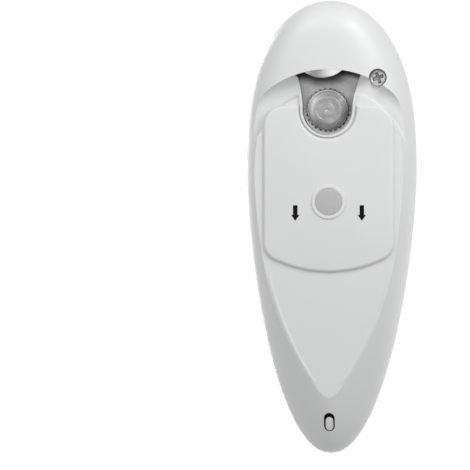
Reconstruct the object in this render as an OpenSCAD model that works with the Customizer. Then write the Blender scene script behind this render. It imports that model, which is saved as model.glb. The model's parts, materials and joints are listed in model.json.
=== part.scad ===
// Hand-held battery can opener: a teardrop housing over a motor, a four-stage
// gear train, a toothed drive wheel and an eccentric cutting disc.
// The nose points to -Y, the tail to +Y, and the underside rests on Z = 0.

/* [Housing] */
// Length from nose to tail
body_l = 192; // [186:1:200]
// Room between the battery bay and the outside, on each side at the widest station
side_room = 8.3; // [7.5:0.1:10]
// Distance of the widest station from the nose
widest_at = 73; // [70:1:78]
// Height of the top shell's dome above the parting line
dome_h = 27; // [26.4:0.2:30]
// Distance of the dome's highest station from the nose
dome_at = 78; // [72:1:84]
// Depth of the hood below the parting line
hood_depth = 24.5; // [24:0.1:26]
// Depth of the flat underside panel below the parting line
panel_depth = 19.8; // [19.6:0.1:20.2]
// Wall of the shells
wall = 2.2; // [1.8:0.1:2.4]

/* [Rim valley] */
// Radius of the can rim that the valley follows
rim_r = 36.5; // [34:0.5:40]
// Depth of the valley's floor below the parting line
rim_depth = 16.4; // [16:0.1:16.8]
// Half width of the mouth at the hood's lip
mouth_half = 14; // [13:0.2:14.6]

/* [Button] */
// Diameter of the start button
button_d = 35; // [32:0.2:35.4]
// Distance of the button's centre from the nose
button_at = 22.3; // [22:0.1:23]
// Height of the button's seat above the parting line
button_z = 15.3; // [14.8:0.1:15.8]
// Tilt of the button towards the nose
button_tilt = 23; // [21:0.5:25]
// Travel of the button
button_travel = 1.6; // [1:0.1:1.7]
// Crown of the button's face
button_crown = 1.3; // [0.8:0.1:1.8]

/* [Drive] */
// Distance of the drive wheel's axis from the nose
drive_at = 46.5; // [46:0.1:46.8]
// Tip radius of the toothed drive wheel
wheel_r = 9.4; // [9:0.1:9.6]
// Teeth of the drive wheel
wheel_teeth = 26; // [20:1:32]
// Radius of the drive shaft
drive_shaft_r = 2.5; // [2.2:0.1:2.8]
// Inner radius of the collar round the wheel
collar_r = 10.6; // [10.4:0.1:11]
// Wall of the collar
collar_wall = 0.9; // [0.7:0.1:1.1]

/* [Cutter] */
// Radius of the cutting disc
disc_r = 13; // [12.4:0.1:13.2]
// Thickness of the cutting disc
disc_t = 1.5; // [1.2:0.1:1.7]
// Open gap between the disc and the drive wheel
rim_gap = 4.3; // [4.2:0.1:4.6]
// Eccentricity of the cutter's axle
throw = 1.8; // [1.4:0.1:1.9]
// Radius of the cutter's axle
axle_r = 2.5; // [2.2:0.1:2.8]

/* [Battery bay] */
// Diameter of an AA cell
cell_d = 14.5; // [14.3:0.1:14.5]
// Length of an AA cell over its terminal
cell_l = 50.5; // [49.9:0.1:50.5]
// Thickness of the battery cover
cover_t = 1.6; // [1.4:0.1:1.8]
// Distance that the cover slides to open
cover_travel = 6; // [5.5:0.5:6.5]
// Diameter of the magnet
magnet_d = 11.5; // [10:0.5:12.5]

/* [Gears] */
// Teeth of every pinion in the train
pinion_teeth = 12; // [12:1:12]
// Teeth of the motor's pinion
motor_teeth = 10; // [10:1:10]
// Play between meshing teeth
backlash = 0.16; // [0.1:0.02:0.2]

/* [Hidden] */
$fn = 64;
eps = 0.01;
seat = 0.3;            // clearance between pieces that pass each other
run = 0.05;            // radial clearance of a running fit
slip = 0.25;           // clearance round the button
contact_room = 2.75;   // for the contacts and their springs, half at each end of a cell
bay_half = cell_l / 2 + contact_room;
body_w = 2 * (bay_half + side_room);  // the cells lie crosswise, so they set the width

// ---- the housing's form ----

// A teardrop half: 1 at the widest place, 0 at the end, u from 0 to 1 along it
function bulge(u, p, q) = pow(max(0, 1 - pow(min(1, max(0, u)), p)), 1 / q);
function ease(t) = let (c = min(1, max(0, t))) c * c * (3 - 2 * c);
tip = 0.5;             // half width left at the very nose and tail
// Half width of the plan outline at s from the nose; inset shrinks it evenly
function half_w(s, inset = 0) = let (w = body_w / 2 - inset, a = widest_at, b = body_l - a)
  max(tip, w * (s < a ? bulge((a - s) / (a - inset), 2.6, 2)
                      : bulge((s - a) / (b - inset), 1.55, 2.05)));
// Height of the dome above the parting line
function dome(s, inset = 0) = let (h = dome_h - inset, a = dome_at, b = body_l - a)
  max(tip, h * (s < a ? bulge((a - s) / (a - inset), 1.7, 1.8)
                      : bulge((s - a) / (b - inset), 1.7, 1.9)));
// Depth of the keel: a blunt nose down to the hood, then the same as the half width
hood_round = 20;       // length of the hood's rounded front
hood_end = 30;         // the hood's level part ends here
function keel(s, inset = 0) = s < widest_at
  ? max(tip, (hood_depth - inset) * bulge((hood_round - s) / (hood_round - inset), 4, 2.6)
      + (body_w / 2 - hood_depth) * ease((s - hood_end) / (widest_at - hood_end)))
  : half_w(s, inset);
// Squareness of the underside's sections: full at the hood, keeled towards the tail
function square_at(s) = 2.2 + 0.8 * ease((60 - s) / 35) - 0.7 * ease((s - 105) / 75);
dome_square = 2.3;

// A closed skin over stations: each ring is half a superellipse with its chord
function ring(s, w, h, n, steps) = [for (i = [0:steps]) let (t = 180 * i / steps)
  [w * (cos(t) < 0 ? -1 : 1) * pow(abs(cos(t)), 2 / n), s, h * pow(max(0, sin(t)), 2 / n)]];
module skin(rings) {
  n = len(rings[0]);
  m = len(rings);
  pts = [for (r = rings, p = r) p];
  side = [for (j = [0:m - 2], i = [0:n - 1]) let (a = j * n + i, b = j * n + (i + 1) % n)
    each [[a, b, a + n], [b, b + n, a + n]]];
  caps = concat([for (i = [1:n - 2]) [0, i + 1, i]],
                [for (i = [1:n - 2]) let (z = (m - 1) * n) [z, z + i, z + i + 1]]);
  polyhedron(points = pts, faces = concat(side, caps), convexity = 4);
}
// Stations bunch up at both ends, where the form turns fastest
function stations(count, inset) = [for (i = [0:count])
  inset + (body_l - 2 * inset) * (1 - cos(180 * i / count)) / 2];
module dome_form(inset, count, steps) skin([for (s = stations(count, inset))
  ring(s, half_w(s, inset), dome(s, inset), dome_square, steps)]);
module keel_form(inset, count, steps) mirror([0, 0, 1]) skin([for (s = stations(count, inset))
  ring(s, half_w(s, inset), keel(s, inset), square_at(s), steps)]);

// From the nose-based frame of the functions to the part's own frame
module placed() translate([0, -body_l / 2, hood_depth]) children();
// A frame on the button's axis, its origin in the plane of the button's seat
module on_button() translate([0, button_at, button_z]) rotate([button_tilt, 0, 0]) children();
module rod(r, z0, z1) translate([0, 0, z0]) cylinder(r = r, h = z1 - z0);
module tube(r, bore, z0, z1) difference() {
  rod(r, z0, z1);
  rod(bore, z0 - 1, z1 + 1);
}
module block(lo, hi) translate(lo) cube(hi - lo);
module at(p, z = 0) translate([p[0], p[1], z]) children();

// ---- places and levels of the works, below and above the parting line ----

drive_x = -0.5;
drive = [drive_x, drive_at];
disc_x = -3;
disc_at = drive_at - wheel_r - rim_gap - disc_r;   // disc's centre with the jaws open
pivot = [disc_x, disc_at + throw];
rim_line = drive_at - wheel_r - rim_gap / 2;       // where the rim passes between them
can = [0, rim_line + rim_r];                       // centre of the can's lid

floor_t = 2;                                       // floor of the head, over the pocket
plate_t = 1;                                       // steel floor plate of the pocket
floor_top = -rim_depth + 5.5;
floor_under = floor_top - floor_t;
plate_under = floor_under - plate_t;
disc_top = plate_under - 3.8;
disc_under = disc_top - disc_t;
lip_r = rim_r + 5.7;                               // hood's lip, from the can's centre
shelf_r = rim_r - 3.5;                             // foot of the cover's platform
disc_room = disc_r + throw + seat;                 // room that the swinging disc needs

// Gear train: module, centre distances, and levels of the wheels
m_drive = 0.8;
m_c = 0.6;
m_b = 0.5;
m_a = 0.5;
drive_teeth = 36;
c_teeth = 36;
b_teeth = 40;
a_teeth = 40;
function pitch_r(m, n) = m * n / 2;
function apart(m, n1, n2) = m * (n1 + n2) / 2;
function polar(r, a) = [r * cos(a), r * sin(a)];
motor = [0, drive_at + 23.5];
angle_dc = 158;
c_pos = drive + polar(apart(m_drive, drive_teeth, pinion_teeth), angle_dc);
angle_cb = 90;
b_pos = c_pos + polar(apart(m_c, c_teeth, pinion_teeth), angle_cb);
// gear a lies where its two centre distances meet
ab = apart(m_b, b_teeth, pinion_teeth);
am = apart(m_a, a_teeth, motor_teeth);
bm = norm(motor - b_pos);
foot = (ab * ab - am * am + bm * bm) / (2 * bm);
angle_bm = atan2(motor[1] - b_pos[1], motor[0] - b_pos[0]);
angle_ba = angle_bm - acos(foot / ab);
a_pos = b_pos + polar(ab, angle_ba);
angle_am = atan2(motor[1] - a_pos[1], motor[0] - a_pos[0]);
// Turn that puts a gap of gear 2 on a tooth of gear 1, which lies at angle t
function in_mesh(t, n1, turn1, n2) = t + 180 - 180 / n2 + (t - turn1) * n1 / n2;
turn_drive = 0;
turn_c_pin = in_mesh(angle_dc, drive_teeth, turn_drive, pinion_teeth);
turn_c = turn_c_pin;
turn_b_pin = in_mesh(angle_cb, c_teeth, turn_c, pinion_teeth);
turn_b = turn_b_pin;
turn_a_pin = in_mesh(angle_ba, b_teeth, turn_b, pinion_teeth);
turn_a = turn_a_pin;
turn_motor = in_mesh(angle_am, a_teeth, turn_a, motor_teeth);

drive_z = [0, 4];                 // drive gear
c_z = [4.8, 7];                   // wheel of gear c
gear_plate_z = [7.8, 9];
b_z = [9.6, 11.8];                // wheel of gear b
a_z = [12.4, 14.6];               // wheel of gear a
top_plate_z = [15.6, 16.6];
gear_gap = 0.4;                   // end play between neighbours on a pin
pin_r = 1;

// Motor: a small can with two flats
motor_r = 10.05;
motor_flat = 7.55;
motor_top = gear_plate_z[0];
motor_can_l = 20;
motor_l = 25.1;
motor_shaft_r = 1;
motor_boss_r = 3;

// Battery bay
cell_z = -panel_depth + 0.65 + 2 + cell_d / 2;
cell_pitch = cell_d + 0.5;
bay_front = motor[1] + motor_flat + 2.35;
cells_at = bay_front + cell_d / 2 + 0.55;
bay_s = [bay_front, cells_at + cell_pitch + cell_d / 2 + 0.65];
bay_wall = 1.2;
bay_top = cell_z + cell_d / 2 + 0.6;
bay_floor = -panel_depth + 1.4;   // inner face of the panel round the bay's opening
cover_half = bay_half - seat;
cover_front = drive_at - 1.9;
cover_side_end = bay_s[1] - 1.6;
cover_bow = 6;                    // how far the rear edge bows towards the tail
cover_gap = 0.35;                 // gap round the collar
sill = 2;                         // cover's overlap on the bay's opening
magnet_at = cells_at - 2.3;
magnet_t = 1.6;
ring_r = magnet_d / 2 + 1.45;     // raised ring round the magnet
ring_rise = 0.6;
catch_at = body_l - 13.4;         // window for the snap tongue
catch_r = 2.3;
catch_long = 7.8;

// ---- gear teeth ----

function deg(r) = r * 180 / PI;
function inv(a) = tan(a) - a * PI / 180;
// Half angle of an involute tooth at radius r
function half_tooth(r, m, n) = let (rp = pitch_r(m, n), rb = rp * cos(20))
  90 / n - deg(backlash / 4 / rp) + deg(inv(20) - inv(r > rb ? acos(rb / r) : 0));
// Outline of a spur gear with n teeth; add is the addendum in modules
function spur(m, n, add = 0.85) = let (rp = pitch_r(m, n), rb = rp * cos(20), tip_r = rp + add * m,
    root = rp - 1.15 * m, foot_r = max(root + 0.02, rb))
  [for (k = [0:n - 1]) let (c = 360 * k / n) each [
    polar(root, c - half_tooth(foot_r, m, n) * (root < rb ? 0.82 : 1)),
    for (i = [0:4]) let (r = foot_r + (tip_r - foot_r) * i / 4) polar(r, c - half_tooth(r, m, n)),
    for (i = [4:-1:0]) let (r = foot_r + (tip_r - foot_r) * i / 4) polar(r, c + half_tooth(r, m, n)),
    polar(root, c + half_tooth(foot_r, m, n) * (root < rb ? 0.82 : 1))]];
module spur_gear(m, n, z, turn, add = 0.85) translate([0, 0, z[0]]) rotate([0, 0, turn])
  linear_extrude(height = z[1] - z[0]) polygon(spur(m, n, add));
// A moulded compound gear: a wheel below or above its own pinion
module compound(m_wheel, n_wheel, wheel_z, m_pin, pin_z, hub_z, turn, hub_end = 0) difference() {
  union() {
    spur_gear(m_wheel, n_wheel, wheel_z, turn);
    spur_gear(m_pin, pinion_teeth, pin_z, turn);
    rod(pitch_r(m_pin, pinion_teeth) - 1.2 * m_pin, hub_z[0], hub_z[1]);
    if (hub_end > 0) rod(pin_r + 0.9, hub_z[1] - 1, hub_end);
  }
  rod(pin_r + run, hub_z[0] - 1, hub_z[1] + 9);
  // a shallow web on the wheel's outer face
  web_z = pin_z[0] < wheel_z[0] ? wheel_z[1] - 0.6 : wheel_z[0] - 1;
  tube_r = pitch_r(m_wheel, n_wheel) - 2.2;
  translate([0, 0, web_z]) difference() {
    cylinder(r = tube_r, h = 1.6);
    translate([0, 0, -1]) cylinder(r = pitch_r(m_pin, pinion_teeth) + 1, h = 4);
  }
}

// ---- outlines on the underside ----

function arc(c, r, a0, a1, n = 8) = [for (i = [0:n]) c + polar(r, a0 + (a1 - a0) * i / n)];
// The battery cover's outline: straight front, big round corners, bowed rear
front_round = 9;
rear_round = 8;
function cover_points(inset = 0) = let (h = cover_half - inset, f = cover_front + inset,
    e = cover_side_end - inset, fr = front_round - inset, rr = rear_round - inset,
    chord = h - rr * 0.4, bow_r = (chord * chord + cover_bow * cover_bow) / (2 * cover_bow),
    lean = asin(chord / bow_r))
  concat(arc([h - fr, f + fr], fr, -90, 0), arc([h - rr, e - rr * 0.8], rr, 0, 90 - lean),
         [for (i = [1:11]) let (t = 90 - lean + 2 * lean * i / 12)
           [bow_r * cos(t), e + cover_bow - bow_r + bow_r * sin(t)]],
         arc([-h + rr, e - rr * 0.8], rr, 90 + lean, 180), arc([-h + fr, f + fr], fr, 180, 270));
// The wheel's pocket in plan: a round bottom, sides that flare to the hood's lip
lip_at = can[1] - sqrt(lip_r * lip_r - mouth_half * mouth_half) - 1.5;
function mouth_points(grow) = concat(
  [for (i = [0:10]) let (t = i / 10) [drive_x + (collar_r + grow)
    + (mouth_half - drive_x - collar_r) * pow(t, 1.8), drive_at - (drive_at - lip_at) * t]],
  [[mouth_half + grow, lip_at - 6], [-mouth_half - grow, lip_at - 6]],
  [for (i = [10:-1:0]) let (t = i / 10) [drive_x - (collar_r + grow)
    - (mouth_half + drive_x - collar_r) * pow(t, 1.8), drive_at - (drive_at - lip_at) * t]]);
module pocket_plan(grow = 0) {
  at(drive) circle(r = collar_r + grow);
  polygon(mouth_points(grow));
}

// ---- housing ----

screw_head = [20.8, drive_at - 13.7];             // the one case screw that shows
screw_tip = screw_head + [-1.8, 6.2];             // point of its pocket
screw_head_r = 3.45;
screw_seat = -rim_depth + 0.4;                    // level that its head bears on
hidden_screws = [[cover_half - 4.1, motor[1] - 2]];  // under the cover, clear of the gears
hidden_seat = -panel_depth + 2;
boss_r = 3.4;
screw_r = 1.5;

// Everything below the underside, from the rim valley back
module underside() {
  deep = body_w;
  wall_pts = [for (i = [0:6]) let (t = 15 * i) // hollow curve up to the lip
    [lip_r - 4.4 * (1 - sin(t)) , -rim_depth - 3.4 * (1 - cos(t))]];
  profile = concat([[0, -deep], [lip_r, -deep]],
    [for (i = [6:-1:0]) wall_pts[i]],
    [[rim_r - 1.7, -rim_depth], [rim_r - 2.5, -rim_depth - 0.6], [shelf_r, -panel_depth],
     [0, -panel_depth]]);
  at(can) rotate([0, 0, 180]) rotate_extrude(angle = 180, $fn = 96) polygon(profile);
  block([-body_w, can[1] - eps, -deep], [body_w, body_l + 10, -panel_depth]);
}
// Void of the wheel's pocket and of the disc's room under the hood
module pocket_void() {
  translate([0, 0, -hood_depth - 5]) linear_extrude(height = hood_depth + 5 + floor_under)
    intersection() {
      pocket_plan();
      at(can) circle(r = lip_r, $fn = 96);
    }
  at(pivot) rod(disc_room, disc_under - 1.2, floor_under);
}
module screw_void(p, seat_z, head_r) at(p) {
  rod(head_r, -body_w, seat_z);
  rod(screw_r + 0.15, -body_w, 0.5);
}
module teardrop(r) {
  d = screw_tip - screw_head;
  a = atan2(d[1], d[0]);
  spread = acos(r / norm(d));
  at(screw_head) circle(r = r);
  polygon([screw_head, screw_head + polar(r, a - spread), screw_tip, screw_head + polar(r, a + spread)]);
}
module collar() translate([0, 0, -panel_depth - cover_t + 0.5]) difference() {
  linear_extrude(height = panel_depth + cover_t - 0.5 - rim_depth + 1) difference() {
    intersection() {
      pocket_plan(collar_wall);
      translate([-20, can[1] - shelf_r + 1]) square([40, 40]);
    }
    pocket_plan();
  }
}
module bottom_hollow() difference() {
  intersection() {
    keel_form(wall, 26, 16);
    block([-body_w, wall, -panel_depth + 2], [body_w, body_l - wall, 1]);
  }
  // floor of the head over the pocket, and the wall behind it
  block([-body_w, 0, -body_w], [body_w, drive_at + collar_r + collar_wall + 1.2, floor_top]);
  // walls and roof of the battery bay
  block([-bay_half - bay_wall, bay_s[0] - bay_wall, -body_w],
        [bay_half + bay_wall, bay_s[1] + bay_wall, bay_top + bay_wall]);
  // bearing boss of the drive shaft, and of the cutter's carrier
  at(drive) rod(drive_shaft_r + 3.6, -body_w, drive_z[0] - 0.4);
  at(pivot) rod(carrier_r + 2, -body_w, carrier_top - 1.6);
  // bosses for the case screws
  for (p = concat([screw_head], hidden_screws)) at(p) rod(boss_r, -body_w, 0.5);
  // posts for the gear plate
  for (p = plate_posts) at(p) rod(post_r, -body_w, 0.5);
  // bosses for the gear pins
  at(c_pos) rod(pin_boss_r, -body_w, drive_z[0] - 0.8);
  at(b_pos) rod(pin_boss_r, -body_w, 0.5);
  // cradle round the motor's foot
  at(motor) block([-motor_r - 1.6, -motor_flat - 1.3, -body_w], [motor_r + 1.6, motor_flat + 1.3, -15.2]);
}
plate_posts = [drive + [17.5, 8], drive + [-27, -3], motor + [-14, 13], motor + [12, 13]];
post_r = 2.2;
pin_boss_r = 2.4;
post_hole_r = 1;
carrier_r = 6;
carrier_top = floor_top + 6.5;

// Plan outline of the body, shrunk evenly by inset
function plan_points(inset) = concat([for (s = stations(40, inset)) [half_w(s, inset), s]],
  [for (s = stations(40, inset), k = [0]) [-half_w(body_l - s, inset), body_l - s]]);
lip_h = 1.2;
module bottom_shell() color("whitesmoke") placed() {
  difference() {
    union() {
      difference() {
        keel_form(0, 60, 32);
        underside();
      }
      intersection() {
        collar();
        block([-body_w, 0, -body_w], [body_w, body_l, -rim_depth + 1]);
      }
      // posts rise past the parting line to the gear plate
      for (p = plate_posts) at(p) rod(post_r, -2, gear_plate_z[0]);
      at(b_pos) rod(pin_boss_r, -2, c_z[0] - 0.8);
    }
    bottom_hollow();
    pocket_void();
    // battery bay and its opening
    block([-bay_half, bay_s[0], bay_floor], [bay_half, bay_s[1], bay_top]);
    translate([0, 0, -body_w]) linear_extrude(height = body_w + bay_floor + eps) intersection() {
      polygon(cover_points(sill));
      translate([-bay_half, bay_s[0]]) square([2 * bay_half, bay_s[1] - bay_s[0]]);
    }
    // notches that let the cover's hooks out once it has slid
    for (s = hooks_at, d = [-1, 1]) scale_x(d) block([cover_half - sill - 1, s + cover_travel - 2.1, -body_w],
      [cover_half - 0.4, s + cover_travel + 2.1, bay_floor + eps]);
    at(drive) rod(drive_shaft_r + 1.6, -body_w, 1);
    at(pivot) rod(carrier_r + run, floor_under - 0.5, 1);
    translate([0, 0, -body_w]) linear_extrude(height = body_w + screw_seat)
      teardrop(screw_head_r + seat);
    at(screw_head) rod(screw_r + 0.15, -body_w, 1);
    for (p = hidden_screws) screw_void(p, hidden_seat, 3.3);
    for (p = plate_posts) at(p) rod(post_hole_r, 1.8, gear_plate_z[0] + 1);
    at(c_pos) rod(pin_r, drive_z[0] - 5, 1);
    at(b_pos) rod(pin_r, 0, 10);
    at(motor) motor_body(0.15, -motor_l - 0.35, 0);
    // snap window at the tail
    translate([0, 0, -body_w]) linear_extrude(height = body_w + 1) slot(catch_at, catch_r, catch_long);
  }
}
// Motor outline: a round can with two flats
module motor_body(grow, z0, z1) translate([0, 0, motor_top]) intersection() {
  rod(motor_r + grow, z0, z1);
  block([-20, -motor_flat - grow, z0 - 1], [20, motor_flat + grow, z1 + 1]);
}

// A slot with round ends along the body
module slot(s, r, l) hull() for (d = [-1, 1]) translate([0, s + d * (l / 2 - r)]) circle(r = r);

module top_shell() color("white") placed() {
  ring_in = button_d / 2 + slip;
  difference() {
    union() {
      difference() {
        dome_form(0, 60, 32);
        dome_form(wall, 26, 16);
      }
      intersection() {
        dome_form(0.3, 26, 16);
        union() {
          // sleeve that guides the button
          on_button() rod(ring_in + 2.6, button_low - 1.2, 20);
          // bosses that take the case screws
          for (p = concat([screw_head], hidden_screws)) at(p) rod(boss_r, 0.5, 40);
          // posts that carry the switch board
          on_button() for (p = board_posts) at(p) rod(1.9, board_top, button_low);
        }
      }
      // tongue that snaps into the tail window, low end flush with the outside
      intersection() {
        translate([0, 0, -body_w]) linear_extrude(height = 2 * body_w)
          slot(catch_at + 0.7, catch_r - 0.6, catch_long - 2 * seat - 1.4);
        translate([catch_r, 0, 0]) rotate([0, -90, 0]) linear_extrude(height = 2 * catch_r)
          polygon([for (s = [catch_at - 3, catch_at + 4]) [-keel(s) + 1, s],
                   for (s = [catch_at + 4, catch_at - 3]) [dome(s) - 1, s]]);
      }
      // lip that nests inside the bottom shell's wall
      translate([0, 0, -lip_h]) linear_extrude(height = lip_h + 0.6) difference() {
        polygon(plan_points(wall + 0.4));
        polygon(plan_points(wall + 1.5));
      }
      // ledge that carries the lip
      linear_extrude(height = 0.8) difference() {
        polygon(plan_points(wall - 0.6));
        polygon(plan_points(wall + 1.5));
      }
    }
    on_button() {
      rod(ring_in, -button_skirt + 1.3, 40);
      rod(ring_in + 1.2, button_low - 3, -button_skirt + 1.3 + eps);
      for (p = board_posts) at(p) rod(0.8, board_top - 1, board_top + 4);
    }
    for (p = concat([screw_head], hidden_screws)) at(p) rod(screw_r, -1, 10);
  }
}

module battery_cover() color("whitesmoke") placed() {
  difference() {
    union() {
      // plate with a rounded edge: each step is inset by the round at its level
      translate([0, 0, -panel_depth - cover_t]) hull() for (e = [[1.3, 0], [0.6, 0.17], [0.2, 0.5], [0, 1]])
        translate([0, 0, e[1]]) linear_extrude(height = cover_t - e[1]) polygon(cover_points(e[0]));
      at([0, magnet_at]) rod(ring_r, -panel_depth - cover_t - ring_rise, -panel_depth - cover_t + 0.5);
      // hooks that hold the cover under the edge of its opening
      for (s = hooks_at, d = [-1, 1]) scale_x(d) {
        block([cover_half - 4.3, s - 1.7, -panel_depth - 0.5], [cover_half - 2.9, s + 1.7, hook_top]);
        block([cover_half - 2.9 - eps, s - 1.7, hook_top - 0.8], [cover_half - 0.7, s + 1.7, hook_top]);
      }
    }
    // clearance round the collar, open to the front
    translate([0, 0, -body_w]) linear_extrude(height = body_w) pocket_plan(collar_wall + cover_gap);
    at([0, magnet_at]) rod(magnet_d / 2, -body_w, -panel_depth - cover_t - ring_rise + magnet_t + 0.1);
  }
}
hook_top = bay_floor + 0.95;
hooks_at = [bay_s[0] + 3.1, bay_s[0] + 15.1];
module scale_x(d) if (d > 0) children(); else mirror([1, 0, 0]) children();
module magnet() color("gray") placed() at([0, magnet_at])
  rod(magnet_d / 2, -panel_depth - cover_t - ring_rise + 0.1, -panel_depth - cover_t - ring_rise + magnet_t + 0.1);

// ---- button and start switch ----

button_skirt = 5;
button_low = -button_skirt;
stem_end = -6.6;
switch_top = stem_end - button_travel - 0.15;
board_top = switch_top - 3.4;
board_t = 1.4;
board_posts = [[-19.6, -1], [19.6, -1]];
module button() color("black") placed() on_button() {
  r = button_d / 2;
  crown_r = (r * r + button_crown * button_crown) / (2 * button_crown);
  difference() {
    union() {
      // crowned cap with a rounded edge
      rotate_extrude($fn = 96) polygon(concat([[0, button_low]], [[r, button_low]], [[r, -1.3]],
        [for (i = [1:5]) let (t = 18 * i) [r - 1.3 + 1.3 * cos(t), -1.3 + 1.3 * sin(t)]],
        [for (i = [6:-1:0]) let (x = (r - 1.6) * i / 6)
          [x, button_crown - crown_r + sqrt(crown_r * crown_r - x * x)]]));
      rod(r + 0.95, button_low, button_low + 1);
    }
    difference() {
      rod(r - 1.5, button_low - 1, -1.8);
      rod(3, button_low - 2, 0);
    }
  }
  rod(3, stem_end, -1.5);
}
module button_spring() color("silver") placed() on_button() {
  turns = 4;
  wire = 0.4;
  r = 6.2;
  z0 = board_top + wire;
  z1 = -1.8 - wire;
  around = 10;
  sides = 6;
  steps = turns * around;
  pts = [for (i = [0:steps], k = [0:sides - 1]) let (t = i / steps, a = 360 * turns * t,
      rr = r + wire * cos(360 * k / sides))
    [rr * cos(a), rr * sin(a), z0 + (z1 - z0) * t + wire * sin(360 * k / sides)]];
  last = steps * sides;
  faces = concat(
    [for (i = [0:steps - 1], k = [0:sides - 1]) let (a = i * sides + k, b = i * sides + (k + 1) % sides)
      each [[a, a + sides, b], [b, a + sides, b + sides]]],
    [for (k = [1:sides - 2]) [0, k, k + 1]],
    [for (k = [1:sides - 2]) [last, last + k + 1, last + k]]);
  polyhedron(points = pts, faces = faces, convexity = 8);
}
module switch_plunger() color("ivory") placed() on_button() rod(1.6, switch_top - 1.5, stem_end);
module start_switch() color("dimgray") placed() on_button() difference() {
  block([-3.1, -3.1, board_top], [3.1, 3.1, switch_top]);
  rod(1.6 + run, switch_top - 1.6 - button_travel, switch_top + 1);
}
module switch_board() color("darkgreen") placed() on_button() difference() {
  union() {
    block([-13, -8, board_top - board_t], [13, 9, board_top]);
    block([-22, -3.2, board_top - board_t], [22, 1.2, board_top]);
  }
  for (p = board_posts) at(p) rod(1.1, board_top - board_t - 1, board_top + 1);
}
module board_screws() color("silver") placed() on_button() for (p = board_posts) at(p) {
  rod(0.8, board_top - board_t - eps, board_top + 4);
  rod(1.9, board_top - board_t - 1.1, board_top - board_t);
}

// ---- motor ----

module motor_can() color("silver") placed() at(motor) difference() {
  union() {
    motor_body(0, -motor_can_l, 0);
    rod(motor_boss_r, motor_top - eps, gear_plate_z[1]);
  }
  rod(motor_shaft_r + run, motor_top - motor_can_l - 1, gear_plate_z[1] + 1);
  for (d = [-1, 1]) at([4.6 * d, 0]) rod(0.8, motor_top - 3, motor_top + 1);
}
module motor_end_cap() color("black") placed() at(motor) difference() {
  union() {
    motor_body(-0.1, -motor_l + 0.4, -motor_can_l);
    rod(2.4, motor_top - motor_l, motor_top - motor_can_l);
    for (d = [-1, 1]) block([6 * d - 1.1, -motor_flat + 1.6, motor_top - motor_l - 0.1],
                            [6 * d + 1.1, -motor_flat + 2, motor_top - motor_can_l]);
  }
  rod(motor_shaft_r + run, motor_top - motor_l + 0.8, motor_top);
}
module motor_shaft() color("lightgray") placed() at(motor)
  rod(motor_shaft_r, motor_top - motor_l + 0.9, a_z[1] + 0.6);
module motor_pinion() color("goldenrod") placed() at(motor) difference() {
  spur_gear(m_a, motor_teeth, [a_z[0] - 0.6, a_z[1] + 0.4], turn_motor);
  rod(motor_shaft_r, 0, 30);
}
module pan_screw(r, head_r, head_h, under, l, slot = 0.9) {
  difference() {
    union() {
      rod(head_r, under, under + head_h);
      rod(r, under - l, under + eps);
    }
    for (a = [0, 90]) rotate([0, 0, a]) block([-head_r * 0.62, -slot / 2, under + head_h * 0.35],
                                              [head_r * 0.62, slot / 2, under + head_h + 1]);
  }
}
module motor_screws() color("silver") placed() at(motor) for (d = [-1, 1]) at([4.6 * d, 0])
  pan_screw(0.8, 1.5, 0.9, gear_plate_z[1], 3.6, 0.4);

// ---- gear train ----

module gear_a() color("ivory") placed() at(a_pos)
  compound(m_a, a_teeth, a_z, m_b, [b_z[0] - 0.2, a_z[0] + eps],
           [gear_plate_z[1] + gear_gap, top_plate_z[0] - gear_gap], turn_a);
module gear_b() color("ivory") placed() at(b_pos)
  compound(m_b, b_teeth, b_z, m_c, [c_z[0] - 0.4, c_z[1] + 0.4],
           [c_z[0] - 0.4, b_z[1] + 0.3], turn_b, top_plate_z[0] - gear_gap);
module gear_c() color("ivory") placed() at(c_pos)
  compound(m_c, c_teeth, c_z, m_drive, [drive_z[0] - 0.4, c_z[0] + eps],
           [drive_z[0] - 0.4, gear_plate_z[0] - gear_gap], turn_c);
module gear_pins() color("silver") placed() {
  at(a_pos) rod(pin_r, gear_plate_z[0], top_plate_z[1]);
  at(b_pos) rod(pin_r, 0, top_plate_z[1]);
  at(c_pos) rod(pin_r, drive_z[0] - 5, gear_plate_z[1]);
}
// A sheet stretched round discs, each a centre and a radius
module sheet(discs, z) translate([0, 0, z[0]]) linear_extrude(height = z[1] - z[0])
  hull() for (d = discs) at(d[0]) circle(r = d[1], $fn = 32);
module gear_plate() color("lightsteelblue") placed() difference() {
  sheet([for (p = plate_posts) [p, 2.4], [drive, 5.5], [b_pos, 7]], gear_plate_z);
  at(drive) rod(drive_shaft_r + run, 0, 20);
  at(motor) rod(motor_boss_r + run, 0, 20);
  at(motor) for (d = [-1, 1]) at([4.6 * d, 0]) rod(0.8, 0, 20);
  at(b_pos) rod(pitch_r(m_c, pinion_teeth) + 1, 0, 20);
  for (p = [a_pos, c_pos]) at(p) rod(pin_r, 0, 20);
  for (p = plate_posts) at(p) rod(1.15, 0, 20);
  for (p = pillars) at(p) rod(1, 0, 20);
}
pillars = [drive + [6.1, 9.1], c_pos + [-3.2, 0.8], motor + [-7, 10]];
module top_plate() color("lightsteelblue") placed() difference() {
  sheet([for (p = pillars) [p, 2.1], [motor, 3.2], [b_pos, 3]], top_plate_z);
  for (p = [a_pos, b_pos]) at(p) rod(pin_r, 0, 20);
  for (p = pillars) at(p) rod(1, 0, 20);
  at(motor) rod(2, 0, 20);
}
module plate_pillars() color("silver") placed() for (p = pillars) at(p) difference() {
  union() {
    rod(2, gear_plate_z[1], top_plate_z[0]);
    rod(1, gear_plate_z[0], gear_plate_z[1] + eps);
  }
  rod(0.8, gear_plate_z[1] + 1, top_plate_z[1]);
}
module plate_screws() color("silver") placed() for (p = plate_posts) at(p)
  pan_screw(post_hole_r, 1.8, 1.1, gear_plate_z[1], 7, 0.5);
module pillar_screws() color("silver") placed() for (p = pillars) at(p)
  pan_screw(0.8, 1.5, 0.8, top_plate_z[1], 4, 0.4);

// ---- drive ----

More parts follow.
